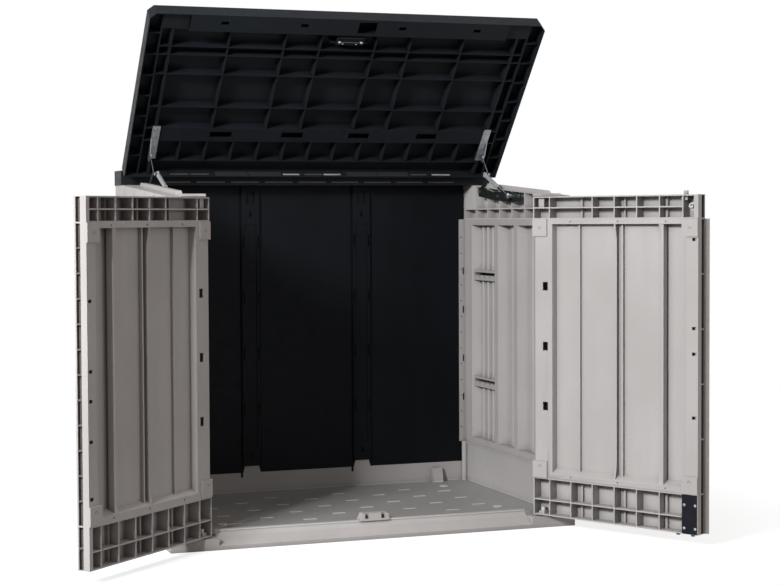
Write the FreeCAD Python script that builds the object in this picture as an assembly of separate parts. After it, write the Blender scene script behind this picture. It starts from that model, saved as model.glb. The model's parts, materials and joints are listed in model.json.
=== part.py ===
"""Garden storage box: a resin cabinet with two doors and a lid on struts.

Millimetres. X runs to the right, Y to the back, Z up. The origin is the centre of the
footprint on the ground. The doors and the lid stand open, as in the photograph.
"""
import FreeCAD, Part
import math
import os

V = FreeCAD.Vector
os.makedirs("parts", exist_ok=True)

# Overall sizes
WIDTH = 1290.0
DEPTH = 740.0
SKIN = 3.0
RIB = 4.0
FIT = 0.5
RUNNING_FIT = 0.05

# Base tray
FLOOR_TOP = 46.0
FLOOR_SKIN = 4.0
BASE_RIB = 4.0
CENTRE_PAD = 80.0
RAMP_FRONT = 12.0
RAMP_TOP = 33.0
RIDGE_GAP = 13.0
RIDGE_DEPTH = 8.0
RIDGE_TOP = 52.0
RIDGE_FACE = 9.0
CORNER_BLOCK_WIDTH = 145.0
CORNER_BLOCK_TOP = 34.0
PIVOT_BOSS_RADIUS = 14.0
SKIRT_TOP = 182.0
SKIRT_BEAD = 3.0
BACK_SKIRT_TOP = 112.0
BACK_TAB_RISE = 22.0
BACK_TAB_SLANT = 7.0
BACK_NOTCH = (8.0, 16.0)
CORNER_BEAD_RADIUS = 10.0
CHANNEL_DEPTH = 32.0
TREAD_LENGTH = 42.0
TREAD_WIDTH = 9.0
TREAD_RISE = 2.0
TREAD_PITCH_X = 235.0
TREAD_PITCH_Y = 70.0
TREAD_MARGIN = 45.0
GUSSET_X = 468.0
GUSSET_WIDTH = 36.0
GUSSET_LENGTH = 26.0
GUSSET_RISE = 48.0
ANCHOR_HOLE_RADIUS = 5.0
ANCHOR_SPAN_X = 900.0
ANCHOR_SPAN_Y = 440.0

# Side walls
WALL_THICKNESS = 65.0
FIELD_DEPTH = 30.0
FIELD_BOTTOM = 204.0
HEADER_HEIGHT = 20.0
REAR_STILE = 62.0
FRONT_STILE = 120.0
FLUTED_WIDTH = 190.0
FIELD_RIB = 26.0
FLUTE_COUNT = 3
SHELF_SLIT_HEIGHTS = (398.0, 763.0)
SHELF_BAR_HEIGHT = 34.0
SHELF_SLIT_HEIGHT = 10.0
REAR_FLANGE = 22.0
REAR_SLOT_HEIGHTS = (337.0, 472.0, 641.0, 775.0)
REAR_SLOT_HEIGHT = 24.0
REAR_SLOT_WIDTH = 6.0
TICK_PITCH = 55.0
TICK_HEIGHT = 3.0
PLANK_COUNT = 5
GROOVE_WIDTH = 6.0
GROOVE_DEPTH = 1.8
RAIL_CELLS = 7
RAIL_CURB_WIDTH = 18.0
RAIL_CURB_RISE = 12.0
RAIL_CURB_START = 40.0

# Doors
PIVOT_TO_WALL = 32.0
PIVOT_TO_FRONT = 22.0
HINGE_EDGE = 24.0
DOOR_GAP = 4.0
DOOR_THICKNESS = 40.0
DOOR_BOTTOM = 38.0
DOOR_TOP = 1024.0
TOP_BAND = 70.0
LOW_BAND = 117.0
LOW_BAND_SHELF = 49.0
DOOR_STILE = 70.0
FREE_STILE = 28.0
HINGE_EDGE_SETBACK = 8.0
STRIP_HEIGHT = 19.0
TOP_STRIP_HEIGHT = 15.0
STRIP_DIMPLE_SHARES = (0.239, 0.53, 0.814)
STRIP_DIMPLE_RADIUS = 3.0
STRIP_DIMPLE_DEPTH = 3.0
SILL_HEIGHT = 14.0
CORNER_TAB = 52.0
CORNER_TAB_RISE = 4.0
COLUMN_COUNT = 7
COLUMN_START = 60.0
EDGE_CHANNEL = 10.0
EDGE_OUTER = 5.0
EDGE_FLANGE = 20.0
RIGHT_EDGE_PITCH = 155.0
LEFT_EDGE_PITCH = 64.0
MEETING_LIP = 12.0
MEETING_HOLD = 10.0
MEETING_THICKNESS = 5.0
MEETING_CLEAR = 0.5
DOOR_FIELD_DEPTH = 22.0
THIN_RIB_SHARE = 0.2746
THIN_RIB_WIDTH = 6.0
THIN_RIB_RISE = 9.0
FIN_SHARE = 0.505
FIN_WIDTH = 6.0
FIN_RISE = 13.0
LOW_RIB_SHARE = 0.5396
LOW_RIB_WIDTH = 6.0
LOW_RIB_RISE = 10.0
TALL_RIB_SHARE = 0.786
TALL_RIB_WIDTH = 8.0
TALL_RIB_RISE = 20.0
TALL_FLARE_WIDTH = 16.0
TROUGH_DEPTH = 30.0
RAIL_RIDGE_RISE = 10.0
RIB_FLARE = 45.0
STILE_SLOT_HEIGHTS = (378.0, 563.0, 748.0)
RIGHT_FREE_SLOTS = (378.0, 563.0, 637.0, 894.0)
LEFT_FREE_SLOTS = (227.0, 378.0, 485.0, 563.0, 748.0)
HINGE_SLOT_WIDTH = 18.0
HINGE_SLOT_SHARE = 0.64
FREE_SLOT_WIDTH = 14.0
FREE_SLOT_INSET = 12.0
HINGE_SLOT_HEIGHT = 26.0
FREE_SLOT_HEIGHT = 9.0
RIGHT_DOOR_OPEN = 120.0
LEFT_DOOR_OPEN = 139.0
PIVOT_RADIUS = 6.0
PIVOT_HEAD_RADIUS = 7.0
PIVOT_HEAD_HEIGHT = 12.0
PIVOT_DROP = 24.0
PIVOT_BOSS = 20.0
PIVOT_BOSS_HEIGHT = 12.0
LUG_THICKNESS = 8.0
LUG_GAP = 2.0
LUG_HOLD = 22.0
LUG_REACH = 50.0

# Back wall
BACK_PANEL_SKIN = 4.0
BACK_FLANGE = 20.0
BACK_TO_REAR = 32.0
UPRIGHT_X = 196.0
UPRIGHT_WIDTH = 69.0
UPRIGHT_PROUD = 8.0
UPRIGHT_PANEL_MARGINS = (14.0, 60.0, 130.0)
KEYHOLE_FROM_BOTTOM = 30.0
KEYHOLE_FROM_TOP = 100.0
KEYHOLE_RADIUS = 5.0
KEYHOLE_NECK = 5.0
KEYHOLE_RISE = 14.0
UPRIGHT_SLOT = (5.0, 40.0)
UPRIGHT_SLOT_INSET = 9.0
UPRIGHT_WINDOW_HEIGHT = 40.0
UPRIGHT_WINDOW_MARGIN = 20.0

# Lid and its hinge
HINGE_Y = 258.0
HINGE_Z = 1111.0
HINGE_ROD_RADIUS = 4.0
KNUCKLE_RADIUS = 8.0
KNUCKLE_LENGTH = 52.0
KNUCKLE_PITCH = 215.0
KNUCKLE_GAP = 1.0
BEAM_SETBACK = 10.0
BEAM_BOTTOM = 1071.0
BEAM_TOP = 1118.0
LID_OPEN = 50.0
LID_SLOPE = 4.0
LID_REAR = 12.0
LID_FRONT = 630.0
LID_CROWN = 6.0
LID_LIP = 38.0
LID_GAP = 3.0
LID_RIB_DEPTH = 26.0
LID_RIB_X = (90.0, 206.0, 384.0)
LID_RIB_V = (281.0, 405.0, 476.0, 507.0)
LID_BAND = (150.0, 198.0)
LATCH_RIB_V = 537.0
LID_FLANGE = 56.0
LID_FLANGE_SKIN = 4.0
LID_CORNER_RECESS = 11.0
LID_RIM_OUTSET = 20.0
LID_STAY_RIB_INSET = 15.0
LID_CORNER_CUT = 18.0
LID_SLOT_X = (160.0, 412.0)
LID_WINDOW_X = (114.0, 352.0)
LID_CELL_PITCH = 92.0

# Lid stays
STAY_PLATE = 3.0
STAY_PIVOT_Y = 194.0
STAY_PIVOT_Z = 1048.0
STAY_TIP_Y = 117.0
STAY_TIP_Z = 1103.0
STAY_LID_V = 100.0
STAY_LID_N = -38.0
STRUT_FOOT_Y = -58.0
STRUT_FOOT_Z = 1030.0
STUD_RADIUS = 4.0
TIP_PIN_RADIUS = 3.0
LEVER_WIDTH = 16.0
LINK_RADIUS = 1.9
LINK_EYE = 7.5
LINK_PLAY = 1.4
SIDE_PLAY = 0.3
STRUT_INSET = 20.0
STRUT_TUBE_RADIUS = 7.0
STRUT_TUBE_LENGTH = 112.0
STRUT_ROD_RADIUS = 3.5
STRUT_ROD_INSIDE = 30.0
STRUT_EYE = 9.0
STRUT_EYE_WIDTH = 6.0
BRACKET_WIDTH = 25.0
BRACKET_START = 80.0
BRACKET_END = 208.0

# Latches
TOP_PEG_RADIUS = 7.0
TOP_PEG_RISE = 12.0
TOP_PEG_FROM_FREE = 50.0
BOTTOM_PEG_DROP = 8.0
BOTTOM_PEG_RADIUS = 6.0
BOTTOM_PEG_INSETS = (16.0, 64.0)
LOCK_PLATE = 3.0
RIVET_RADIUS = 4.5
RIVET_RISE = 2.2
LOCK_RIVET_ACROSS = (0.16, 0.9)
LOCK_RIVET_DOWN = (0.26, 0.86)
LATCH_FROM_FREE = 29.0
LATCH_SHAFT_RADIUS = 4.0
LATCH_SHAFT_LENGTH = 15.0
HANDLE_LENGTH = 50.0
HANDLE_WIDTH = 18.0
HANDLE_PROUD = 12.0
CATCH_WIDTH = 98.0
CATCH_DEPTH = 22.0
CATCH_RISE = 24.0
CATCH_SLOT_X = 26.0
CATCH_SLOT = 12.0
CATCH_LIP = 5.0
LATCH_BAR_LENGTH = 88.0
LATCH_BAR_V = 558.0
LATCH_HOLE = (14.0, 74.0)

# Places worked out from the sizes above
HALF_WIDTH = WIDTH / 2
HALF_DEPTH = DEPTH / 2
WALL_IN = HALF_WIDTH - WALL_THICKNESS
PIVOT_X = WALL_IN - PIVOT_TO_WALL
PIVOT_Y = -HALF_DEPTH + PIVOT_TO_FRONT
WALL_FRONT = PIVOT_Y + 0.2 * DOOR_THICKNESS
DOOR_WIDTH = PIVOT_X + HINGE_EDGE - DOOR_GAP / 2
THIN_RIB_PLACE = THIN_RIB_SHARE * DOOR_WIDTH
FIN_PLACE = FIN_SHARE * DOOR_WIDTH
LOW_RIB_PLACE = LOW_RIB_SHARE * DOOR_WIDTH
TALL_RIB_PLACE = TALL_RIB_SHARE * DOOR_WIDTH
DOOR_OUT = PIVOT_Y - DOOR_THICKNESS / 2
DOOR_IN = PIVOT_Y + DOOR_THICKNESS / 2
TOP_SEAM = DOOR_TOP - TOP_BAND
LOW_SEAM = DOOR_BOTTOM + LOW_BAND
RIDGE_FRONT = DOOR_IN + RIDGE_GAP
RIDGE_BACK = RIDGE_FRONT + RIDGE_DEPTH
RAMP_END = HALF_WIDTH - CORNER_BLOCK_WIDTH
BACK_IN = HALF_DEPTH - BACK_TO_REAR
BACK_WALL = BACK_IN - RIB
BEAM_FRONT = HINGE_Y + BEAM_SETBACK
UPRIGHT_IN = UPRIGHT_X - UPRIGHT_WIDTH / 2
UPRIGHT_OUT = UPRIGHT_X + UPRIGHT_WIDTH / 2
LUG_BOTTOM = DOOR_TOP + LUG_GAP
LUG_TOP = LUG_BOTTOM + LUG_THICKNESS
STAY_PLATE_FACE = WALL_IN - STAY_PLATE
LEVER_OUT = STAY_PLATE_FACE - SIDE_PLAY
LEVER_IN = LEVER_OUT - STAY_PLATE
LINK_OUT = LEVER_IN - SIDE_PLAY
LINK_IN = LINK_OUT - STAY_PLATE
STRUT_X = WALL_IN - STRUT_INSET
LID_RIM_X = WALL_IN + LID_RIM_OUTSET
LID_STAY_RIB_X = WALL_IN - LID_STAY_RIB_INSET
LAST_COLUMN = DOOR_WIDTH - TOP_PEG_FROM_FREE
COLUMN_PITCH = (LAST_COLUMN - COLUMN_START) / (COLUMN_COUNT - 1)
COLUMNS = [COLUMN_START + COLUMN_PITCH * i for i in range(COLUMN_COUNT - 1)] + [LAST_COLUMN]


def box(x0, x1, y0, y1, z0, z1):
    """A box between two corners, given in any order."""
    low = V(min(x0, x1), min(y0, y1), min(z0, z1))
    return Part.makeBox(abs(x1 - x0), abs(y1 - y0), abs(z1 - z0), low)


def prism(points, axis, low, high):
    """A straight prism along an axis, over an outline in the other two coordinates."""
    place = {"x": lambda a, b: V(low, a, b), "y": lambda a, b: V(a, low, b), "z": lambda a,
             b: V(a, b, low)}[axis]
    outline = [place(a, b) for a, b in points]
    face = Part.Face(Part.makePolygon(outline + outline[:1]))
    way = {"x": V(1, 0, 0), "y": V(0, 1, 0), "z": V(0, 0, 1)}[axis]
    return face.extrude(way * (high - low))


def rod(start, end, radius):
    """A round bar between two points."""
    way = V(*end) - V(*start)
    return Part.makeCylinder(radius, way.Length, V(*start), way)


def join(shapes):
    """One solid from several that touch or overlap."""
    shapes = list(shapes)
    whole = shapes[0] if len(shapes) == 1 else shapes[0].multiFuse(shapes[1:])
    return whole.removeSplitter()


def carve(shape, tools):
    """The shape without the tools."""
    tools = list(tools)
    return shape.cut(tools) if tools else shape


def mirrored(shape):
    """The same piece on the other side of the box."""
    return shape.mirror(V(0, 0, 0), V(1, 0, 0))


def save(name, shape):
    """Write one sub-part, as one solid or as a group of separate solids."""
    solids = shape.Solids
    body = solids[0] if len(solids) == 1 else Part.makeCompound(solids)
    if not body.isValid():
        raise ValueError(name + " is not a valid solid")
    body.exportStep("parts/" + name + ".step")
    print(name, len(solids), "solids", round(body.Volume / 1000.0, 1), "cm3")


def save_pair(name, right_shape):
    """Write the right-hand piece and its mirror image on the left."""
    save(name + "_right", right_shape)
    save(name + "_left", mirrored(right_shape))


def lid_point(v, n):
    """Where a point of the lid stands: v forward of the hinge axis, n above the lid's plane."""
    angle = math.radians(LID_OPEN)
    y = HINGE_Y - v * math.cos(angle) + n * math.sin(angle)
    z = HINGE_Z + v * math.sin(angle) + n * math.cos(angle)
    return y, z


def in_lid(shape):
    """Move a piece drawn flat, with the hinge axis on X, to the open lid."""
    placed = shape.copy()
    placed.rotate(V(0, 0, 0), V(1, 0, 0), -LID_OPEN)
    placed.translate(V(0, HINGE_Y, HINGE_Z))
    return placed


def lid_box(x0, x1, v0, v1, n0, n1):
    """A box in the lid's own flat frame."""
    return box(x0, x1, -v0, -v1, n0, n1)


def door_box(u0, u1, y0, y1, z0, z1):
    """A box in the closed right door: u runs from the hinge edge to the free edge."""
    edge = PIVOT_X + HINGE_EDGE
    return box(edge - u0, edge - u1, y0, y1, z0, z1)


def swing(shape, angle):
    """Open a closed right-hand door piece by an angle about its pivots."""
    placed = shape.copy()
    placed.rotate(V(PIVOT_X, PIVOT_Y, 0), V(0, 0, 1), angle)
    return placed


def save_right_door(name, shape):
    save(name, swing(shape, RIGHT_DOOR_OPEN))


def save_left_door(name, shape):
    save(name, mirrored(swing(shape, LEFT_DOOR_OPEN)))


def wall_top(y):
    """Height of the sloping wall top, just under the rim of the closed lid."""
    slope = math.radians(LID_SLOPE)
    return HINGE_Z - (HINGE_Y - y) * math.tan(slope) - LID_LIP / math.cos(slope) - LID_GAP


def evenly(low, high, count):
    """Evenly spaced places, both ends left out."""
    return [low + (high - low) * (i + 1) / (count + 1) for i in range(count)]


# The base tray
def base_shell():
    """Floor, outer walls, side and back channels, ramp and corner blocks, open below."""
    floor_low = FLOOR_TOP - FLOOR_SKIN
    shell = [box(-HALF_WIDTH, HALF_WIDTH, RIDGE_FRONT, HALF_DEPTH, floor_low, FLOOR_TOP)]
    shell.append(box(-HALF_WIDTH, HALF_WIDTH, HALF_DEPTH - SKIN, HALF_DEPTH, 0, BACK_SKIRT_TOP))
    shell.append(box(-WALL_IN, WALL_IN, BACK_WALL, BACK_IN, floor_low, BACK_SKIRT_TOP))
    shell.append(box(-HALF_WIDTH, HALF_WIDTH, RIDGE_FRONT, RIDGE_BACK, 0, FLOOR_TOP))
    ramp = [(-HALF_DEPTH, 0), (-HALF_DEPTH, RAMP_FRONT), (DOOR_IN, RAMP_TOP),
            (RIDGE_FRONT, RIDGE_TOP - RIDGE_FACE),
            (RIDGE_FRONT, RIDGE_TOP), (RIDGE_BACK, RIDGE_TOP), (RIDGE_BACK, 0), (RIDGE_FRONT, 0),
            (RIDGE_FRONT, RIDGE_TOP - RIDGE_FACE - 2 * SKIN), (DOOR_IN,
                                                               RAMP_TOP - SKIN), (-HALF_DEPTH + SKIN,
                                                                         RAMP_FRONT - SKIN),
            (-HALF_DEPTH + SKIN, 0)]
    shell.append(prism(ramp, "x", -RAMP_END, RAMP_END))
    for side in (-1, 1):
        inner, outer = side * WALL_IN, side * HALF_WIDTH
        shell.append(box(inner, inner + side * RIB, WALL_FRONT, HALF_DEPTH, floor_low, SKIRT_TOP))
        shell.append(box(outer, outer - side * SKIN, WALL_FRONT, HALF_DEPTH, 0, SKIRT_TOP))
        shell.append(box(inner, outer, WALL_FRONT, WALL_FRONT + RIB, 0, SKIRT_TOP))
        shell.append(box(inner, outer, HALF_DEPTH - SKIN, HALF_DEPTH, 0, SKIRT_TOP))
        shell.append(box(inner, inner - side * SKIRT_BEAD, RIDGE_BACK, BACK_WALL, SKIRT_TOP - 6,
                         SKIRT_TOP))
        shell.append(corner_block(side))
    return shell


def corner_block(side):
    """Hollow block at a front corner, with the socket for the door's lower pivot."""
    outer = [side * RAMP_END, side * HALF_WIDTH]
    block = box(outer[0], outer[1], -HALF_DEPTH, RIDGE_BACK, 0, CORNER_BLOCK_TOP)
    hollow = box(outer[0] + side * SKIN, outer[1] - side * SKIN, -HALF_DEPTH + SKIN, RIDGE_FRONT,
                 0, CORNER_BLOCK_TOP - SKIN)
    boss = rod((side * PIVOT_X, PIVOT_Y, 0), (side * PIVOT_X, PIVOT_Y, CORNER_BLOCK_TOP),
               PIVOT_BOSS_RADIUS)
    return join([block.cut(hollow), boss])


def base_details():
    """Ribs below, treads above, back tabs, gussets and the pad at the centre."""
    details = [box(-CENTRE_PAD / 2, CENTRE_PAD / 2, -CENTRE_PAD / 2, CENTRE_PAD / 2, 0, BASE_RIB)]
    floor_low = FLOOR_TOP - FLOOR_SKIN
    for x in [0.0] + [side * HALF_WIDTH * share for side in (-1, 1) for share in (0.26, 0.52, 0.78)]:
        details.append(box(x - BASE_RIB / 2, x + BASE_RIB / 2, RIDGE_BACK, HALF_DEPTH - SKIN, 0,
                           floor_low))
    for y in [0.0] + evenly(RIDGE_BACK, 0, 1) + evenly(0, HALF_DEPTH, 1):
        details.append(box(-HALF_WIDTH + SKIN, HALF_WIDTH - SKIN, y - BASE_RIB / 2, y + BASE_RIB / 2, 0,
                           floor_low))
    rows = int((BACK_WALL - RIDGE_BACK - 2 * TREAD_MARGIN) / TREAD_PITCH_Y)
    columns = int((2 * WALL_IN - TREAD_LENGTH) / TREAD_PITCH_X)
    for row in range(rows):
        y = RIDGE_BACK + TREAD_MARGIN + TREAD_PITCH_Y * (row + 0.5)
        for column in range(columns):
            x = (column - (columns - 1) / 2 + (0.25 if row % 2 else -0.25)) * TREAD_PITCH_X
            details.append(box(x - TREAD_LENGTH / 2, x + TREAD_LENGTH / 2, y - TREAD_WIDTH / 2,
                               y + TREAD_WIDTH / 2,
                               floor_low, FLOOR_TOP + TREAD_RISE))
    for side in (-1, 1):
        middle = side * UPRIGHT_X
        half, top_half = UPRIGHT_WIDTH / 2 - BACK_TAB_SLANT / 2, UPRIGHT_WIDTH / 2 - 1.5 * BACK_TAB_SLANT
        tab = [(middle - half, BACK_SKIRT_TOP - SKIN), (middle + half, BACK_SKIRT_TOP - SKIN),
               (middle + top_half, BACK_SKIRT_TOP + BACK_TAB_RISE),
               (middle - top_half, BACK_SKIRT_TOP + BACK_TAB_RISE)]
        details.append(prism(tab, "y", BACK_WALL, BACK_IN))
        gusset = [(BACK_WALL, FLOOR_TOP), (BACK_WALL, FLOOR_TOP + GUSSET_RISE),
                  (BACK_WALL - GUSSET_LENGTH / 2, FLOOR_TOP + GUSSET_RISE), (BACK_WALL - GUSSET_LENGTH,
                                                                             FLOOR_TOP)]
        details.append(prism(gusset, "x", side * GUSSET_X - GUSSET_WIDTH / 2,
                             side * GUSSET_X + GUSSET_WIDTH / 2))
        inset = 0.6 * CORNER_BEAD_RADIUS
        bead = (side * (WALL_IN - inset), BACK_WALL - inset)
        details.append(rod((bead[0], bead[1], FLOOR_TOP - 1), (bead[0], bead[1], SKIRT_TOP),
                           CORNER_BEAD_RADIUS))
    return details


def gusset_pockets():
    """The hollow of each gusset, open towards the near side wall."""
    low, high = FLOOR_TOP + 2 * RIB, FLOOR_TOP + GUSSET_RISE - RIB
    outline = [(BACK_WALL - 1, low), (BACK_WALL - 1, high),
               (BACK_WALL - GUSSET_LENGTH / 2 + RIB / 2, high),
               (BACK_WALL - GUSSET_LENGTH + 2 * RIB, low)]
    return [prism(outline, "x", side * (GUSSET_X - GUSSET_WIDTH / 2 + 2 * RIB),
                  side * (GUSSET_X + GUSSET_WIDTH))
            for side in (-1, 1)]


def anchor_holes():
    """Four holes in the floor for ground anchors."""
    holes = []
    for x in (-ANCHOR_SPAN_X / 2, ANCHOR_SPAN_X / 2):
        for y in (-ANCHOR_SPAN_Y / 2, ANCHOR_SPAN_Y / 2):
            holes.append(rod((x, y, -1), (x, y, FLOOR_TOP + 2 * TREAD_RISE), ANCHOR_HOLE_RADIUS))
    return holes


def anchor_bosses():
    bosses = []
    for x in (-ANCHOR_SPAN_X / 2, ANCHOR_SPAN_X / 2):
        for y in (-ANCHOR_SPAN_Y / 2, ANCHOR_SPAN_Y / 2):
            bosses.append(rod((x, y, 0), (x, y, FLOOR_TOP + TREAD_RISE), 3 * ANCHOR_HOLE_RADIUS))
    return bosses


def floor_base():
    whole = join(base_shell() + base_details() + anchor_bosses())
    sockets = [rod((side * PIVOT_X, PIVOT_Y, DOOR_BOTTOM - PIVOT_DROP - 2),
                   (side * PIVOT_X, PIVOT_Y, DOOR_BOTTOM), PIVOT_RADIUS + RUNNING_FIT) for side in (-1,
                                                                                                    1)]
    notches = []
    wide, deep = BACK_NOTCH
    for side in (-1, 1):
        x = side * UPRIGHT_X - UPRIGHT_WIDTH / 2 + BACK_TAB_SLANT / 2
        notches.append(box(x - wide, x, BACK_WALL - 1, BACK_IN + 1, BACK_SKIRT_TOP - deep,
                           BACK_SKIRT_TOP + 1))
    return carve(whole, sockets + notches + gusset_pockets() + anchor_holes())


def door_catch():
    """Block on the ridge at the middle, with two slots open to the front."""
    half = CATCH_WIDTH / 2
    back = RIDGE_BACK + CATCH_DEPTH
    top = FLOOR_TOP + CATCH_RISE
    outline = [(RIDGE_BACK, FLOOR_TOP), (RIDGE_BACK, RIDGE_TOP), (RIDGE_FRONT, RIDGE_TOP),
               (RIDGE_FRONT, RIDGE_TOP - RIDGE_FACE / 2), (RIDGE_FRONT - CATCH_LIP,
                                                           RIDGE_TOP - RIDGE_FACE / 2),
               (RIDGE_FRONT - CATCH_LIP, top), (back - 6, top), (back, FLOOR_TOP)]
    block = prism(outline, "x", -half, half)
    slots = []
    for side in (-1, 1):
        x = side * CATCH_SLOT_X
        slots.append(box(x - CATCH_SLOT / 2, x + CATCH_SLOT / 2, RIDGE_FRONT - CATCH_LIP - 1,
                         RIDGE_BACK + 8,
                         RIDGE_TOP + 1, top + 1))
    ends = [prism([(side * half, FLOOR_TOP), (side * half, top + 1), (side * (half - 10), top + 1)], "y",
                  RIDGE_FRONT - CATCH_LIP - 1, back + 1) for side in (-1, 1)]
    return carve(block, slots + ends)


# The side walls
def side_field(y0, y1, z0, z1):
    """A sunk field with slanting sides, opening towards the inside."""
    deep = WALL_IN + FIELD_DEPTH
    slant = FIELD_DEPTH / 2
    outline = [(WALL_IN - 1, y0), (WALL_IN - 1, y1), (deep, y1 - slant), (deep, y0 + slant)]
    return prism(outline, "z", z0, z1)


def side_panel():
    """Lower part of the right wall: inner fields, flutes and shelf slits, planks outside."""
    front, back = WALL_FRONT + RIB + FIT, HALF_DEPTH - SKIN - FIT
    outer = HALF_WIDTH - 2
    panel = join([box(WALL_IN, outer, front, back, SKIRT_TOP, TOP_SEAM),
                  box(WALL_IN + RIB + FIT, HALF_WIDTH - SKIN - FIT, front, back,
                      SKIRT_TOP - CHANNEL_DEPTH, SKIRT_TOP + 1)])
    floor_of_field = WALL_IN + FIELD_DEPTH
    field_top = TOP_SEAM - HEADER_HEIGHT
    fluted_back = BACK_IN - REAR_STILE
    fluted_front = fluted_back - FLUTED_WIDTH
    wide_front = front + FRONT_STILE
    middle = (fluted_front - FIELD_RIB + wide_front) / 2
    cuts = [box(floor_of_field + SKIN, outer - SKIN, front + SKIN, back - SKIN,
                SKIRT_TOP - CHANNEL_DEPTH + SKIN,
                TOP_SEAM + 1)]
    cuts.append(side_field(fluted_front, fluted_back, FIELD_BOTTOM, field_top))
    cuts.append(side_field(middle + FIELD_RIB / 2, fluted_front - FIELD_RIB, FIELD_BOTTOM, field_top))
    cuts.append(side_field(wide_front, middle - FIELD_RIB / 2, FIELD_BOTTOM, field_top))
    for low, high in ((front, wide_front), (fluted_back, back),
                      (middle - FIELD_RIB / 2, middle + FIELD_RIB / 2),
                      (fluted_front - FIELD_RIB, fluted_front)):
        cuts.append(box(WALL_IN + 2 * RIB, floor_of_field + SKIN + 1, low + RIB, high - RIB,
                        SKIRT_TOP + SKIN,
                        TOP_SEAM + 1))
    for low, high in ((field_top + RIB, TOP_SEAM + 1), (SKIRT_TOP + SKIN, FIELD_BOTTOM - RIB)):
        cuts.append(box(WALL_IN + 2 * RIB, floor_of_field + SKIN + 1, front + RIB, back - RIB, low, high))
    panel = carve(panel, cuts)
    ribs = []
    for y in evenly(fluted_front + FIELD_DEPTH / 2, fluted_back - FIELD_DEPTH / 2, FLUTE_COUNT):
        ribs.append(flute(y, 9.0, 14.0))
    for low, high in ((middle + FIELD_RIB / 2, fluted_front - FIELD_RIB),
                      (wide_front, middle - FIELD_RIB / 2)):
        ribs.append(flute((low + high) / 2, 16.0, 9.0))
    for z in SHELF_SLIT_HEIGHTS:
        ribs.append(box(WALL_IN + 6, floor_of_field + 1, fluted_front + 4, fluted_back - 4,
                        z - SHELF_BAR_HEIGHT / 2, z + SHELF_BAR_HEIGHT / 2))
    ribs.append(box(WALL_IN - REAR_FLANGE, WALL_IN + 1, BACK_IN - RIB, BACK_IN, SKIRT_TOP, TOP_SEAM))
    panel = join([panel] + ribs)
    return carve(panel, side_panel_slots(fluted_front, fluted_back, field_top) + side_grooves(outer,
                                                                                              front, back))


def flute(y, half_base, rise):
    """A rounded-looking rib standing in a sunk field."""
    deep = WALL_IN + FIELD_DEPTH
    outline = [(deep + 1, y - half_base), (deep + 1, y + half_base),
               (deep - rise * 0.7, y + half_base * 0.6),
               (deep - rise, y + half_base * 0.25), (deep - rise, y - half_base * 0.25),
               (deep - rise * 0.7, y - half_base * 0.6)]
    return prism(outline, "z", FIELD_BOTTOM, TOP_SEAM - HEADER_HEIGHT)


def side_panel_slots(fluted_front, fluted_back, field_top):
    """Shelf slits with their notches, and the row of small slots in the rear stile."""
    slots = []
    for z in SHELF_SLIT_HEIGHTS:
        slots.append(box(WALL_IN, WALL_IN + FIELD_DEPTH + 2 * SKIN, fluted_front + 12, fluted_back - 12,
                         z, z + SHELF_SLIT_HEIGHT))
        for y in evenly(fluted_front + 12, fluted_back - 12, 3):
            slots.append(prism([(y - 7, z + 1), (y + 7, z + 1), (y, z - 12)], "x", WALL_IN,
                               WALL_IN + FIELD_DEPTH - 12))
    middle = WALL_IN - REAR_FLANGE / 2
    for z in REAR_SLOT_HEIGHTS:
        x = WALL_IN - REAR_SLOT_WIDTH
        slots.append(box(x - REAR_SLOT_WIDTH / 2, x + REAR_SLOT_WIDTH / 2, BACK_IN - RIB - 1, BACK_IN + 1,
                         z - REAR_SLOT_HEIGHT / 2, z + REAR_SLOT_HEIGHT / 2))
    for i in range(int((field_top - FIELD_BOTTOM) / TICK_PITCH)):
        z = FIELD_BOTTOM + TICK_PITCH * (i + 0.5)
        slots.append(box(middle - 2 * REAR_SLOT_WIDTH / 2, middle, BACK_IN - RIB - 1, BACK_IN + 1,
                         z - TICK_HEIGHT / 2, z + TICK_HEIGHT / 2))
    return slots


def side_grooves(outer, front, back):
    """Plank joints down the outside of a side wall."""
    grooves = []
    for y in evenly(front, back, PLANK_COUNT - 1):
        grooves.append(box(outer - GROOVE_DEPTH, outer + 1, y - GROOVE_WIDTH / 2, y + GROOVE_WIDTH / 2,
                           SKIRT_TOP - 1, TOP_SEAM + 1))
    return grooves


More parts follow.
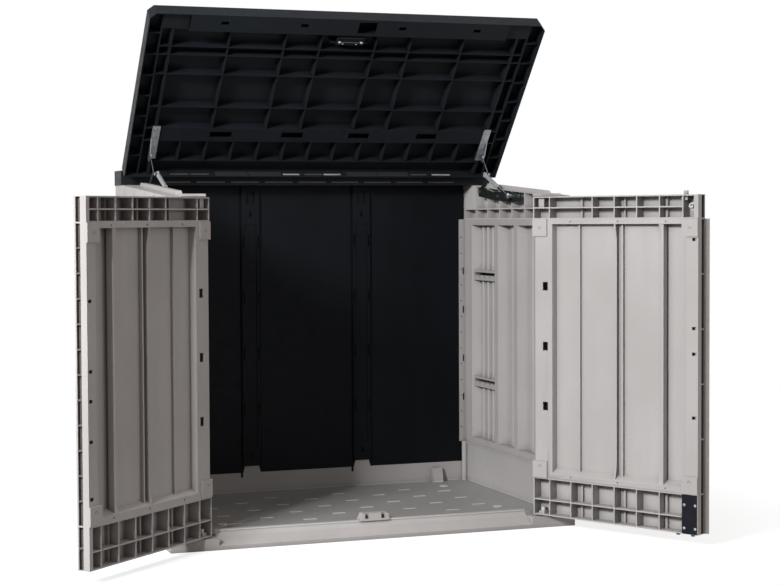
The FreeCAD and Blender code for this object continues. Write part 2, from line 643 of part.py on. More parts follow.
def side_rail():
    """Upper part of the right wall: sloping top, open cells inside, curb and door lug."""
    front, back = WALL_FRONT, HALF_DEPTH - SKIN - FIT
    outer = HALF_WIDTH - 2
    outline = [(front, TOP_SEAM), (front, wall_top(front)), (BEAM_FRONT - FIT, wall_top(BEAM_FRONT)),
               (BEAM_FRONT - FIT, BEAM_BOTTOM), (back, BEAM_BOTTOM), (back, TOP_SEAM)]
    rail = prism(outline, "x", WALL_IN, outer)
    hollow = [(front + SKIN, TOP_SEAM - 1), (front + SKIN, wall_top(front) - SKIN),
              (BEAM_FRONT, wall_top(BEAM_FRONT) - SKIN), (back - SKIN, BEAM_BOTTOM - SKIN), (back - SKIN,
                                                                                             TOP_SEAM - 1)]
    floor_of_cell = WALL_IN + FIELD_DEPTH
    cuts = [prism(hollow, "x", floor_of_cell + SKIN, outer - SKIN)]
    cuts += rail_cells(front + SKIN, BACK_IN - SKIN)
    rail = carve(rail, cuts)
    curb_front, curb_back = front + RAIL_CURB_START, STAY_PIVOT_Y
    curb = [(curb_front, wall_top(curb_front) - 2), (curb_front + 14,
                                                     wall_top(curb_front + 14) + RAIL_CURB_RISE),
            (curb_back - 14, wall_top(curb_back - 14) + RAIL_CURB_RISE), (curb_back,
                                                                          wall_top(curb_back) - 2)]
    lug_front = PIVOT_Y - 2 * PIVOT_RADIUS
    lug = box(PIVOT_X - 3 * PIVOT_RADIUS, WALL_IN + LUG_HOLD, lug_front, lug_front + LUG_REACH,
              LUG_BOTTOM,
              LUG_TOP)
    socket = rod((PIVOT_X, PIVOT_Y, LUG_BOTTOM - 1), (PIVOT_X, PIVOT_Y, LUG_TOP + 1),
                 PIVOT_RADIUS + RUNNING_FIT)
    rail = join([rail, prism(curb, "x", WALL_IN + 3, WALL_IN + 3 + RAIL_CURB_WIDTH), lug])
    grooves = []
    for y in evenly(front, back, PLANK_COUNT - 1):
        grooves.append(box(outer - GROOVE_DEPTH, outer + 1, y - GROOVE_WIDTH / 2, y + GROOVE_WIDTH / 2,
                           TOP_SEAM - 1, BEAM_TOP))
    return carve(rail, [socket] + grooves)


def rail_cells(front, back):
    """Two rows of open cells on the inner face of the upper rail."""
    shelf = (TOP_SEAM + DOOR_TOP) / 2
    pitch = (back - front) / RAIL_CELLS
    cells = []
    for i in range(RAIL_CELLS):
        y0, y1 = front + pitch * i + RIB / 2, front + pitch * (i + 1) - RIB / 2
        cells.append(box(WALL_IN - 1, WALL_IN + FIELD_DEPTH, y0, y1, TOP_SEAM + RIB, shelf - RIB / 2))
        low_top = min(wall_top(y0), LUG_BOTTOM + 2 * LUG_THICKNESS) - SKIN
        upper = [(y0, shelf + RIB / 2), (y0, wall_top(y0) - SKIN), (y1, wall_top(y1) - SKIN),
                 (y1, shelf + RIB / 2)]
        if low_top > shelf + RIB and y1 < BEAM_FRONT:
            cells.append(prism(upper, "x", WALL_IN - 1, WALL_IN + FIELD_DEPTH))
    return cells


# The back wall
def back_panel(x0, x1):
    """Flat inner skin with a flange all round the back and plank joints."""
    top = BEAM_BOTTOM
    panel = box(x0, x1, BACK_IN + FIT, BACK_IN + FIT + BACK_PANEL_SKIN + BACK_FLANGE, FLOOR_TOP, top)
    hollow = box(x0 + SKIN, x1 - SKIN, BACK_IN + FIT + BACK_PANEL_SKIN, BACK_IN + 2 * BACK_FLANGE,
                 FLOOR_TOP + SKIN, top - SKIN)
    grooves = []
    for x in evenly(x0, x1, PLANK_COUNT - 2):
        y = BACK_IN + FIT + BACK_PANEL_SKIN
        grooves.append(box(x - GROOVE_WIDTH / 2, x + GROOVE_WIDTH / 2, y - GROOVE_DEPTH, y + 1,
                           FLOOR_TOP + SKIN, top - SKIN))
    return carve(panel, [hollow] + grooves)


def back_upright():
    """Right-hand upright between two back panels, with its keyholes and slots."""
    x0, x1 = UPRIGHT_IN + FIT, UPRIGHT_OUT - FIT
    low = BACK_SKIRT_TOP + BACK_TAB_RISE + 2
    post = join([box(x0, x1, BACK_IN + FIT, BACK_IN + BACK_PANEL_SKIN + BACK_FLANGE, FLOOR_TOP,
                     BEAM_BOTTOM),
                 box(x0 + 3, x1 - 3, BACK_IN - UPRIGHT_PROUD, BACK_IN + 2 * FIT, low, BEAM_BOTTOM)])
    cuts = [box(x0 + SKIN, x1 - SKIN, BACK_IN + FIT + SKIN, HALF_DEPTH, FLOOR_TOP + SKIN,
                BEAM_BOTTOM - SKIN)]
    front = BACK_IN - UPRIGHT_PROUD
    side_margin, low_margin, high_margin = UPRIGHT_PANEL_MARGINS
    cuts.append(box(x0 + side_margin, x1 - side_margin, front - 1, front + 3, low + low_margin,
                    BEAM_BOTTOM - high_margin))
    deep = front + 6
    for z in (low + KEYHOLE_FROM_BOTTOM, BEAM_BOTTOM - KEYHOLE_FROM_TOP):
        cuts.append(rod((UPRIGHT_X, front - 1, z), (UPRIGHT_X, deep, z), KEYHOLE_RADIUS))
        cuts.append(box(UPRIGHT_X - KEYHOLE_NECK / 2, UPRIGHT_X + KEYHOLE_NECK / 2, front - 1, deep, z,
                        z + KEYHOLE_RISE))
    slot_width, slot_height = UPRIGHT_SLOT
    for z in evenly(low, BEAM_BOTTOM, 4):
        for side in (-1, 1):
            x = UPRIGHT_X + side * (UPRIGHT_WIDTH / 2 - UPRIGHT_SLOT_INSET)
            cuts.append(box(x - slot_width / 2, x + slot_width / 2, front - 1, front + 5,
                            z - slot_height / 2, z + slot_height / 2))
    window = BEAM_BOTTOM - UPRIGHT_WINDOW_MARGIN
    cuts.append(box(x0 + UPRIGHT_WINDOW_MARGIN, x1 - UPRIGHT_WINDOW_MARGIN, front - 1, deep,
                    window - UPRIGHT_WINDOW_HEIGHT, window))
    return carve(post, cuts)


# The hinge beam, its rod and the lid
def knuckle_places():
    """Middles of the beam's hinge knuckles; the lid's lie beside them."""
    return [KNUCKLE_PITCH * i for i in (-2, -1, 0, 1, 2)]


def hinge_beam():
    """Hollow beam across the back that carries the lid's hinge rod."""
    outer = box(-HALF_WIDTH, HALF_WIDTH, BEAM_FRONT, HALF_DEPTH, BEAM_BOTTOM, BEAM_TOP)
    bays = []
    between = [x + KNUCKLE_PITCH / 2 for x in [-3 * KNUCKLE_PITCH] + knuckle_places()]
    edges = [-HALF_WIDTH] + between + [HALF_WIDTH]
    for x0, x1 in zip(edges[:-1], edges[1:]):
        if x1 - x0 > 4 * SKIN:
            bays.append(box(x0 + SKIN, x1 - SKIN, BEAM_FRONT + SKIN, BACK_IN - 2 * SKIN, BEAM_BOTTOM - 1,
                            BEAM_TOP - SKIN))
    for row_z, count in ((BEAM_BOTTOM + 10, 9), (BEAM_TOP - 22, 8)):
        for x in evenly(-WALL_IN, WALL_IN, count):
            half = 0.42 * 2 * WALL_IN / (count + 1)
            bays.append(box(x - half, x + half, BEAM_FRONT - 1, BEAM_FRONT + 1.5, row_z - 3, row_z + 3))
    beam = carve(outer, bays)
    knuckles = []
    for x in knuckle_places():
        x0, x1 = x - KNUCKLE_LENGTH / 2, x + KNUCKLE_LENGTH / 2
        knuckles.append(rod((x0, HINGE_Y, HINGE_Z), (x1, HINGE_Y, HINGE_Z), KNUCKLE_RADIUS))
        knuckles.append(box(x0, x1, HINGE_Y, BEAM_FRONT + 1, HINGE_Z - KNUCKLE_RADIUS,
                            HINGE_Z + KNUCKLE_RADIUS - 1))
    bore = rod((-HALF_WIDTH, HINGE_Y, HINGE_Z), (HALF_WIDTH, HINGE_Y, HINGE_Z), HINGE_ROD_RADIUS)
    return carve(join([beam] + knuckles), [bore])


def hinge_rod():
    reach = 2 * KNUCKLE_PITCH + 1.6 * KNUCKLE_LENGTH
    return rod((-reach, HINGE_Y, HINGE_Z), (reach, HINGE_Y, HINGE_Z), HINGE_ROD_RADIUS)


def lid_ribs():
    """Cross ribs, long ribs and rim cells on the underside, in the lid's flat frame."""
    top = LID_CROWN - SKIN + 1
    low = -LID_RIB_DEPTH
    flange_back = LID_FRONT - SKIN - LID_FLANGE
    ribs = []
    for v in LID_RIB_V + LID_BAND:
        ribs.append(lid_box(-LID_RIM_X, LID_RIM_X, v - RIB / 2, v + RIB / 2, low, top))
    for side in (-1, 1):
        for x in LID_RIB_X:
            ribs.append(lid_box(side * x - RIB / 2, side * x + RIB / 2, LID_BAND[1], flange_back + 1, low,
                                top))
        ribs.append(lid_box(side * LID_RIM_X - RIB / 2, side * LID_RIM_X + RIB / 2, LID_REAR + 1,
                            LID_FRONT - SKIN,
                            low, top))
        stay = side * LID_STAY_RIB_X
        ribs.append(lid_box(stay - RIB, stay + RIB, LID_REAR + 1, flange_back + 1, low, top))
        for v in evenly(LID_REAR, LID_FRONT, 7):
            ribs.append(lid_box(side * LID_RIM_X, side * (HALF_WIDTH - 1), v - RIB / 2, v + RIB / 2, low,
                                top))
    ribs.append(lid_box(-0.7 * LATCH_BAR_LENGTH, 0.7 * LATCH_BAR_LENGTH, LATCH_RIB_V - RIB / 2,
                        LATCH_RIB_V + RIB / 2, low, top))
    count = int(2 * LID_STAY_RIB_X / LID_CELL_PITCH)
    for x in evenly(-LID_STAY_RIB_X, LID_STAY_RIB_X, count):
        ribs.append(lid_box(x - RIB / 2, x + RIB / 2, 0.45 * LID_BAND[0], LID_BAND[0], low, top))
    ribs.append(lid_box(-LID_STAY_RIB_X, LID_STAY_RIB_X, 0.45 * LID_BAND[0], 0.45 * LID_BAND[0] + RIB,
                        low, top))
    return ribs


def lid_plates():
    """The smooth band near the hinge and the flange along the front."""
    band = lid_box(-LID_STAY_RIB_X, LID_STAY_RIB_X, LID_BAND[0], LID_BAND[1], -LID_RIB_DEPTH,
                   -LID_RIB_DEPTH + RIB)
    windows = [lid_box(side * x - 36, side * x + 36, LID_BAND[0] + 14, LID_BAND[1] - 12, -LID_LIP, 0)
               for side in (-1, 1) for x in LID_WINDOW_X]
    flange_end = PIVOT_X - 5 * PIVOT_RADIUS
    front, back = LID_FRONT - 1, LID_FRONT - SKIN - LID_FLANGE
    flange = join([lid_box(-flange_end, flange_end, back, front, -LID_LIP, -LID_LIP + LID_FLANGE_SKIN),
                   lid_box(-flange_end, flange_end, back, back + RIB, -LID_LIP, LID_CROWN - 1)])
    middle = (front + back) / 2
    slots = [lid_box(side * x - 12, side * x + 12, middle - 4, middle + 8, -LID_LIP - 1,
                     -LID_LIP + 2 * LID_FLANGE_SKIN)
             for side in (-1, 1) for x in LID_SLOT_X]
    slots.append(lid_box(LATCH_HOLE[0], LATCH_HOLE[1], back + 2 * RIB, front - 2 * RIB, -LID_LIP - 1,
                         -LID_LIP + 2 * LID_FLANGE_SKIN))
    corner_low = -LID_LIP + LID_CORNER_RECESS
    corners = [lid_box(side * (flange_end - 1), side * LID_RIM_X, back, front, corner_low,
                       corner_low + LID_FLANGE_SKIN) for side in (-1, 1)]
    return [carve(band, windows), carve(flange, slots)] + corners


def lid_shell():
    """The lid: crowned skin, lips, ribs, bands and hinge knuckles."""
    cut = LID_CORNER_CUT
    outline = [(-HALF_WIDTH, -LID_REAR), (-HALF_WIDTH, -LID_FRONT + cut), (-HALF_WIDTH + cut, -LID_FRONT),
               (HALF_WIDTH - cut, -LID_FRONT), (HALF_WIDTH, -LID_FRONT + cut), (HALF_WIDTH, -LID_REAR)]
    inner = [(-HALF_WIDTH + SKIN, -LID_REAR - SKIN), (-HALF_WIDTH + SKIN, -LID_FRONT + cut + SKIN / 2),
             (-HALF_WIDTH + cut + SKIN / 2, -LID_FRONT + SKIN), (HALF_WIDTH - cut - SKIN / 2,
                                                                 -LID_FRONT + SKIN),
             (HALF_WIDTH - SKIN, -LID_FRONT + cut + SKIN / 2), (HALF_WIDTH - SKIN, -LID_REAR - SKIN)]
    shell = prism(outline, "z", -LID_LIP, LID_CROWN)
    shell = shell.cut(prism(inner, "z", -LID_LIP - 1, LID_CROWN - SKIN))
    knuckles = []
    for x in knuckle_places():
        for side in (-1, 1):
            near = x + side * (KNUCKLE_LENGTH / 2 + KNUCKLE_GAP)
            far = near + side * KNUCKLE_LENGTH / 2
            knuckles.append(rod((near, 0, 0), (far, 0, 0), KNUCKLE_RADIUS))
            knuckles.append(lid_box(near, far, 0, LID_REAR + SKIN, -KNUCKLE_RADIUS, LID_CROWN))
    bore = rod((-HALF_WIDTH, 0, 0), (HALF_WIDTH, 0, 0), HINGE_ROD_RADIUS + RUNNING_FIT)
    grooves = []
    for x in evenly(-HALF_WIDTH, HALF_WIDTH, 2 * PLANK_COUNT - 1):
        grooves.append(lid_box(x - GROOVE_WIDTH / 2, x + GROOVE_WIDTH / 2, LID_REAR + 40, LID_FRONT - 30,
                               LID_CROWN - GROOVE_DEPTH / 2, LID_CROWN + 1))
    whole = join([shell] + lid_ribs() + lid_plates() + knuckles)
    return in_lid(carve(whole, [bore] + grooves))


# The lid stays, right-hand side
def eye_bar(start, end, radius_start, radius_end, x0, x1):
    """A flat bar in a vertical plane with round ends about two pivots."""
    way = V(0, end[0] - start[0], end[1] - start[1])
    way.normalize()
    side = V(0, -way.z, way.y)
    waist = min(radius_start, radius_end) * 0.8
    ends = [rod((x0, start[0], start[1]), (x1, start[0], start[1]), radius_start),
            rod((x0, end[0], end[1]), (x1, end[0], end[1]), radius_end)]
    a, b = V(x0, start[0], start[1]), V(x0, end[0], end[1])
    corners = [a + side * waist, b + side * waist, b - side * waist, a - side * waist]
    web = Part.Face(Part.makePolygon(corners + corners[:1])).extrude(V(x1 - x0, 0, 0))
    return join(ends + [web])


def stay_plate():
    """Steel plate on the upper rail that carries the lever and the strut's foot."""
    rear = STAY_PIVOT_Y + LEVER_WIDTH
    front = STRUT_FOOT_Y - 4 * LEVER_WIDTH
    outline = [(rear, STAY_PIVOT_Z - LEVER_WIDTH), (rear, STAY_PIVOT_Z + LEVER_WIDTH * 0.8),
               (STAY_PIVOT_Y - LEVER_WIDTH, STAY_PIVOT_Z + LEVER_WIDTH * 0.8),
               (STAY_TIP_Y - LEVER_WIDTH, STAY_PIVOT_Z - 2), (STRUT_FOOT_Y,
                                                              STRUT_FOOT_Z + LEVER_WIDTH * 0.8),
               (front, STRUT_FOOT_Z + LEVER_WIDTH / 2), (front, STRUT_FOOT_Z - LEVER_WIDTH),
               (STRUT_FOOT_Y, STRUT_FOOT_Z - LEVER_WIDTH * 1.3), (STAY_TIP_Y,
                                                                  STAY_PIVOT_Z - LEVER_WIDTH * 1.6)]
    plate = prism(outline, "x", STAY_PLATE_FACE, WALL_IN)
    holes = [rod((0, y, z), (WALL_IN + 1, y, z), STUD_RADIUS) for y, z in stud_places()]
    holes += [rod((0, y, z), (WALL_IN + 1, y, z), TIP_PIN_RADIUS) for y, z in plate_screw_places()]
    return carve(plate, holes)


def stud_places():
    return [(STAY_PIVOT_Y, STAY_PIVOT_Z), (STRUT_FOOT_Y, STRUT_FOOT_Z)]


def plate_screw_places():
    """Screws along the plate, clear of the lever's sweep."""
    return [(STRUT_FOOT_Y + steps * LEVER_WIDTH, STRUT_FOOT_Z) for steps in (-3.3, 2.6, 7.2)]


def stay_plate_screws():
    """Dome-headed screws through the plate."""
    screws = []
    for y, z in plate_screw_places():
        screws.append(join([rod((STAY_PLATE_FACE, y, z), (WALL_IN, y, z), TIP_PIN_RADIUS),
                            rod((STAY_PLATE_FACE - 2, y, z), (STAY_PLATE_FACE, y, z),
                                2 * TIP_PIN_RADIUS)]))
    return Part.makeCompound(screws)


def stay_studs():
    """Pivot studs pressed into the plate: one for the lever, one for the strut's foot."""
    y, z = stud_places()[0]
    lever_stud = join([rod((LEVER_IN - SIDE_PLAY, y, z), (WALL_IN, y, z), STUD_RADIUS),
                       rod((LEVER_IN - SIDE_PLAY - 2, y, z), (LEVER_IN - SIDE_PLAY, y, z),
                           1.7 * STUD_RADIUS)])
    y, z = stud_places()[1]
    inner = STRUT_X - STRUT_EYE_WIDTH / 2 - SIDE_PLAY
    outer = STRUT_X + STRUT_EYE_WIDTH / 2 + SIDE_PLAY
    foot_stud = join([rod((inner, y, z), (WALL_IN, y, z), STUD_RADIUS),
                      rod((inner - 2, y, z), (inner, y, z), 1.6 * STUD_RADIUS),
                      rod((outer, y, z), (STAY_PLATE_FACE, y, z), 1.6 * STUD_RADIUS)])
    return Part.makeCompound([lever_stud, foot_stud])


def stay_lever():
    """Lever from the plate's rear pivot up to the joint with the link and the strut."""
    bar = eye_bar((STAY_PIVOT_Y, STAY_PIVOT_Z), (STAY_TIP_Y, STAY_TIP_Z), LEVER_WIDTH * 0.7,
                  LEVER_WIDTH / 2,
                  LEVER_IN, LEVER_OUT)
    holes = [rod((LEVER_IN - 1, STAY_PIVOT_Y, STAY_PIVOT_Z), (LEVER_OUT + 1, STAY_PIVOT_Y, STAY_PIVOT_Z),
                 STUD_RADIUS + RUNNING_FIT),
             rod((LEVER_IN - 1, STAY_TIP_Y, STAY_TIP_Z), (LEVER_OUT + 1, STAY_TIP_Y, STAY_TIP_Z),
                 TIP_PIN_RADIUS)]
    return carve(bar, holes)


def lever_pin():
    """Pin at the lever's tip, with a wide head that keeps the link on."""
    head = LINK_IN - SIDE_PLAY
    return join([rod((head, STAY_TIP_Y, STAY_TIP_Z), (LEVER_OUT, STAY_TIP_Y, STAY_TIP_Z), TIP_PIN_RADIUS),
                 rod((head - 1.5, STAY_TIP_Y, STAY_TIP_Z), (head, STAY_TIP_Y, STAY_TIP_Z),
                     2.4 * TIP_PIN_RADIUS)])


def stay_link():
    """Slim rod with an eye at each end, from the lid's bracket to the lever's tip."""
    top = lid_point(STAY_LID_V, STAY_LID_N)
    tip = (STAY_TIP_Y, STAY_TIP_Z)
    middle = (LINK_IN + LINK_OUT) / 2
    eyes = [rod((LINK_IN, y, z), (LINK_OUT, y, z), LINK_EYE) for y, z in (top, tip)]
    shank = rod((middle, top[0], top[1]), (middle, tip[0], tip[1]), LINK_RADIUS * 0.78)
    holes = [rod((LINK_IN - 1, top[0], top[1]), (LINK_OUT + 1, top[0], top[1]),
                 TIP_PIN_RADIUS + RUNNING_FIT),
             rod((LINK_IN - 1, tip[0], tip[1]), (LINK_OUT + 1, tip[0], tip[1]),
                 TIP_PIN_RADIUS + LINK_PLAY)]
    return carve(join(eyes + [shank]), holes)


def along_strut(distance):
    """A point on the strut's line, that far from its foot."""
    way = V(0, STAY_TIP_Y - STRUT_FOOT_Y, STAY_TIP_Z - STRUT_FOOT_Z)
    way.normalize()
    return (STRUT_X, STRUT_FOOT_Y + way.y * distance, STRUT_FOOT_Z + way.z * distance)


def strut_length():
    return math.hypot(STAY_TIP_Y - STRUT_FOOT_Y, STAY_TIP_Z - STRUT_FOOT_Z)


def strut_rod():
    """Polished rod with an eye on the plate's front stud."""
    half = STRUT_EYE_WIDTH / 2
    foot = (STRUT_FOOT_Y, STRUT_FOOT_Z)
    reach = strut_length() - STRUT_TUBE_LENGTH + STRUT_ROD_INSIDE
    eye = rod((STRUT_X - half, foot[0], foot[1]), (STRUT_X + half, foot[0], foot[1]), STRUT_EYE)
    hole = rod((STRUT_X - half - 1, foot[0], foot[1]), (STRUT_X + half + 1, foot[0], foot[1]),
               STUD_RADIUS + RUNNING_FIT)
    return carve(join([eye, rod(along_strut(0.8 * STRUT_EYE), along_strut(reach), STRUT_ROD_RADIUS)]),
                 [hole])


def strut_tube():
    """Gas strut's tube, with an eye at the lever's tip and a bore for the rod."""
    half = STRUT_EYE_WIDTH / 2
    length = strut_length()
    end = length - 1.6 * STRUT_EYE
    tip = (STAY_TIP_Y, STAY_TIP_Z)
    eye = rod((STRUT_X - half, tip[0], tip[1]), (STRUT_X + half, tip[0], tip[1]), STRUT_EYE)
    neck = rod(along_strut(end - 1), along_strut(length - STRUT_EYE / 2), 0.4 * STRUT_EYE_WIDTH)
    tube = rod(along_strut(length - STRUT_TUBE_LENGTH), along_strut(end), STRUT_TUBE_RADIUS)
    bore = rod(along_strut(length - STRUT_TUBE_LENGTH - 1), along_strut(end - 10),
               STRUT_ROD_RADIUS + RUNNING_FIT)
    hole = rod((STRUT_X - half - 1, tip[0], tip[1]), (STRUT_X + half + 1, tip[0], tip[1]), TIP_PIN_RADIUS)
    return carve(join([eye, neck, tube]), [bore, hole])


def lid_bracket():
    """Bent plate under the lid's stay rib, with an ear for the link's pin."""
    plate_top = -LID_RIB_DEPTH
    plate = lid_box(LINK_OUT + SIDE_PLAY - BRACKET_WIDTH + STAY_PLATE, LINK_OUT + SIDE_PLAY + STAY_PLATE,
                    BRACKET_START, BRACKET_END, plate_top - STAY_PLATE, plate_top)
    ear_in, ear_out = LINK_OUT + SIDE_PLAY, LINK_OUT + SIDE_PLAY + STAY_PLATE
    ear_outline = [(-BRACKET_START, plate_top), (-BRACKET_START, STAY_LID_N - LINK_EYE + 2),
                   (-STAY_LID_V - 9, STAY_LID_N - LINK_EYE + 2),
                   (-BRACKET_END + 40, plate_top)]
    ear = prism(ear_outline, "x", ear_in, ear_out)
    holes = [rod((ear_in - 1, -STAY_LID_V, STAY_LID_N), (ear_out + 1, -STAY_LID_V, STAY_LID_N),
                 TIP_PIN_RADIUS)]
    holes += [rod((LID_STAY_RIB_X, -v, plate_top - 4), (LID_STAY_RIB_X, -v, plate_top + 1),
                  TIP_PIN_RADIUS)
              for v in bracket_rivet_places()]
    return in_lid(carve(join([plate, ear]), holes))


def bracket_rivet_places():
    return [BRACKET_START + (BRACKET_END - BRACKET_START) * share for share in (0.42, 0.66, 0.9)]


def lid_bracket_rivets():
    rivets = []
    low = -LID_RIB_DEPTH - STAY_PLATE
    for v in bracket_rivet_places():
        rivets.append(join([rod((LID_STAY_RIB_X, -v, low), (LID_STAY_RIB_X, -v, -LID_RIB_DEPTH),
                                TIP_PIN_RADIUS),
                            rod((LID_STAY_RIB_X, -v, low - 2), (LID_STAY_RIB_X, -v, low),
                                1.7 * TIP_PIN_RADIUS)]))
    return in_lid(Part.makeCompound(rivets))


def link_pin():
    """Pin in the bracket's ear that the link hangs on."""
    inner, outer = LINK_IN - SIDE_PLAY, LINK_OUT + SIDE_PLAY + STAY_PLATE
    pin = join([rod((inner, -STAY_LID_V, STAY_LID_N), (outer, -STAY_LID_V, STAY_LID_N), TIP_PIN_RADIUS),
                rod((inner - 1.5, -STAY_LID_V, STAY_LID_N), (inner, -STAY_LID_V, STAY_LID_N),
                    1.8 * TIP_PIN_RADIUS)])
    return in_lid(pin)


# The lid's latch, beside the hole that takes the door's top peg
def latch_axis():
    return LATCH_BAR_V, -LID_RIB_DEPTH - 6.0


def lid_latch_bracket():
    """Two ears on a base strip, under the cross rib behind the front flange."""
    v, n = latch_axis()
    half = LATCH_BAR_LENGTH / 2
    strip = lid_box(-half, half, LATCH_RIB_V - 8, v + 7, -LID_RIB_DEPTH - 2, -LID_RIB_DEPTH)
    ears = [lid_box(side * half, side * (half - 3), v - 7, v + 7, n - 7, -LID_RIB_DEPTH) for side in (-1,
                                                                                                      1)]
    bore = rod((-half - 1, -v, n), (half + 1, -v, n), TIP_PIN_RADIUS - 0.5)
    holes = [rod((x, -LATCH_RIB_V, -LID_RIB_DEPTH - 5), (x, -LATCH_RIB_V, 0), TIP_PIN_RADIUS - 1)
             for x in latch_screw_places()]
    return in_lid(carve(join([strip] + ears), [bore] + holes))


def latch_screw_places():
    return (-LATCH_BAR_LENGTH / 4, LATCH_BAR_LENGTH / 4)


def lid_latch_screws():
    screws = []
    low = -LID_RIB_DEPTH - 2
    for x in latch_screw_places():
        screws.append(join([rod((x, -LATCH_RIB_V, low), (x, -LATCH_RIB_V, -LID_RIB_DEPTH),
                                TIP_PIN_RADIUS - 1),
                            rod((x, -LATCH_RIB_V, low - 2), (x, -LATCH_RIB_V, low),
                                TIP_PIN_RADIUS + 0.5)]))
    return in_lid(Part.makeCompound(screws))


def lid_latch_pin():
    v, n = latch_axis()
    half = LATCH_BAR_LENGTH / 2
    return in_lid(rod((-half, -v, n), (half, -v, n), TIP_PIN_RADIUS - 0.5))


def lid_latch_bar():
    """Flap that turns on the pin and catches the door's top peg."""
    v, n = latch_axis()
    half = LATCH_BAR_LENGTH / 2 - 3 - SIDE_PLAY
    sleeve = rod((-half, -v, n), (half, -v, n), TIP_PIN_RADIUS + 1)
    flap = lid_box(-half, half, v, v - 20, n - 1.5, n + 1.5)
    bore = rod((-half - 1, -v, n), (half + 1, -v, n), TIP_PIN_RADIUS - 0.5 + RUNNING_FIT)
    return in_lid(carve(join([sleeve, flap]), [bore]))


# The doors, drawn closed on the right-hand side
def rail_ridges():
    """Ribs of the field that go on through the cells of both rails, as start and width."""
    return [(THIN_RIB_PLACE, THIN_RIB_WIDTH), (LOW_RIB_PLACE, LOW_RIB_WIDTH),
            (TALL_RIB_PLACE, TALL_RIB_WIDTH)]


def door_grooves(z0, z1):
    """Plank joints down the outer face, opposite the ribs of the inner face."""
    grooves = []
    for place, width in rail_ridges():
        u = place + width / 2
        grooves.append(door_box(u - GROOVE_WIDTH / 2, u + GROOVE_WIDTH / 2, DOOR_OUT - 1,
                                DOOR_OUT + GROOVE_DEPTH, z0 - 1, z1 + 1))
    return grooves


def door_edge_cells(z0, z1, rib_pitch):
    """Open channel down the free edge, bridged by small ribs."""
    cells = []
    count = max(1, int(round((z1 - z0) / rib_pitch)))
    pitch = (z1 - z0) / count
    for i in range(count):
        cells.append(door_box(DOOR_WIDTH - EDGE_CHANNEL, DOOR_WIDTH + 1, DOOR_OUT + EDGE_OUTER,
                              DOOR_IN - EDGE_FLANGE,
                              z0 + pitch * i + RIB / 2, z0 + pitch * (i + 1) - RIB / 2))
    return cells


def meeting_strip(z0, z1):
    """Lip on the right door's outer face that covers the gap between the closed doors."""
    low = DOOR_OUT - MEETING_CLEAR - MEETING_THICKNESS
    hold = door_box(DOOR_WIDTH - MEETING_HOLD, DOOR_WIDTH, low, DOOR_OUT + 1, z0, z1)
    lip = door_box(DOOR_WIDTH - 1, DOOR_WIDTH + MEETING_LIP, low, DOOR_OUT - MEETING_CLEAR, z0, z1)
    return join([hold, lip])


def rail_with_cells(z0, z1, shelf, columns, open_column, rib_pitch):
    """A door rail: outer skin and two rows of cells open to the inside."""
    rail = door_box(0, DOOR_WIDTH, DOOR_OUT, DOOR_IN, z0, z1)
    edges = [RIB / 2] + list(columns) + [DOOR_WIDTH - EDGE_CHANNEL - RIB / 2]
    cells = []
    for i, (u0, u1) in enumerate(zip(edges[:-1], edges[1:])):
        rows = [(z0 + RIB, shelf - RIB / 2), (shelf + RIB / 2, z1 - RIB)]
        if i == open_column:
            rows = [(z0 + RIB, z1 - RIB)]
        for low, high in rows:
            cells.append(door_box(u0 + RIB / 2, u1 - RIB / 2, DOOR_OUT + SKIN, DOOR_IN + 1, low, high))
    rail = carve(rail, cells + door_grooves(z0, z1) + door_edge_cells(z0, z1, rib_pitch))
    floor = DOOR_OUT + SKIN
    ridges = [door_box(place, place + width, floor - 1, floor + RAIL_RIDGE_RISE, z0 + 1, z1 - 1)
              for place, width in rail_ridges()]
    return join([rail] + ridges)


def pivot_boss(z0, z1):
    """Block round a pivot, inside the hinge-side cell."""
    half = PIVOT_BOSS / 2
    return box(PIVOT_X - half, PIVOT_X + half, DOOR_OUT + SKIN - 1, PIVOT_Y + half, z0, z1)


def pivot_hole(z0, z1):
    return rod((PIVOT_X, PIVOT_Y, z0), (PIVOT_X, PIVOT_Y, z1), PIVOT_RADIUS)


def door_top_rail(with_latch):
    """Top rail; the right-hand one has the peg's socket and the latch's bore."""
    shelf = (TOP_SEAM + DOOR_TOP) / 2
    columns = COLUMNS[:1] + COLUMNS[2:]
    open_column = len(columns) if with_latch else None
    pitch = RIGHT_EDGE_PITCH if with_latch else LEFT_EDGE_PITCH
    rail = rail_with_cells(TOP_SEAM, DOOR_TOP, shelf, columns, open_column, pitch)
    rail = join([rail, pivot_boss(shelf, DOOR_TOP - 1)])
    holes = [pivot_hole(shelf - RIB, DOOR_TOP + 1)]
    if with_latch:
        peg_x = PIVOT_X + HINGE_EDGE - (DOOR_WIDTH - TOP_PEG_FROM_FREE)
        rail = join([rail, box(peg_x - 10, peg_x + 10, DOOR_OUT + SKIN - 1, PIVOT_Y + 10, DOOR_TOP - 16,
                               DOOR_TOP - 1)])
        holes.append(rod((peg_x, PIVOT_Y, DOOR_TOP - 12), (peg_x, PIVOT_Y, DOOR_TOP + 1),
                         TOP_PEG_RADIUS - 2))
        x, z = latch_place()
        holes.append(rod((x, DOOR_OUT - 1, z), (x, DOOR_OUT + LATCH_SHAFT_LENGTH, z),
                         LATCH_SHAFT_RADIUS + RUNNING_FIT))
    return carve(rail, holes)


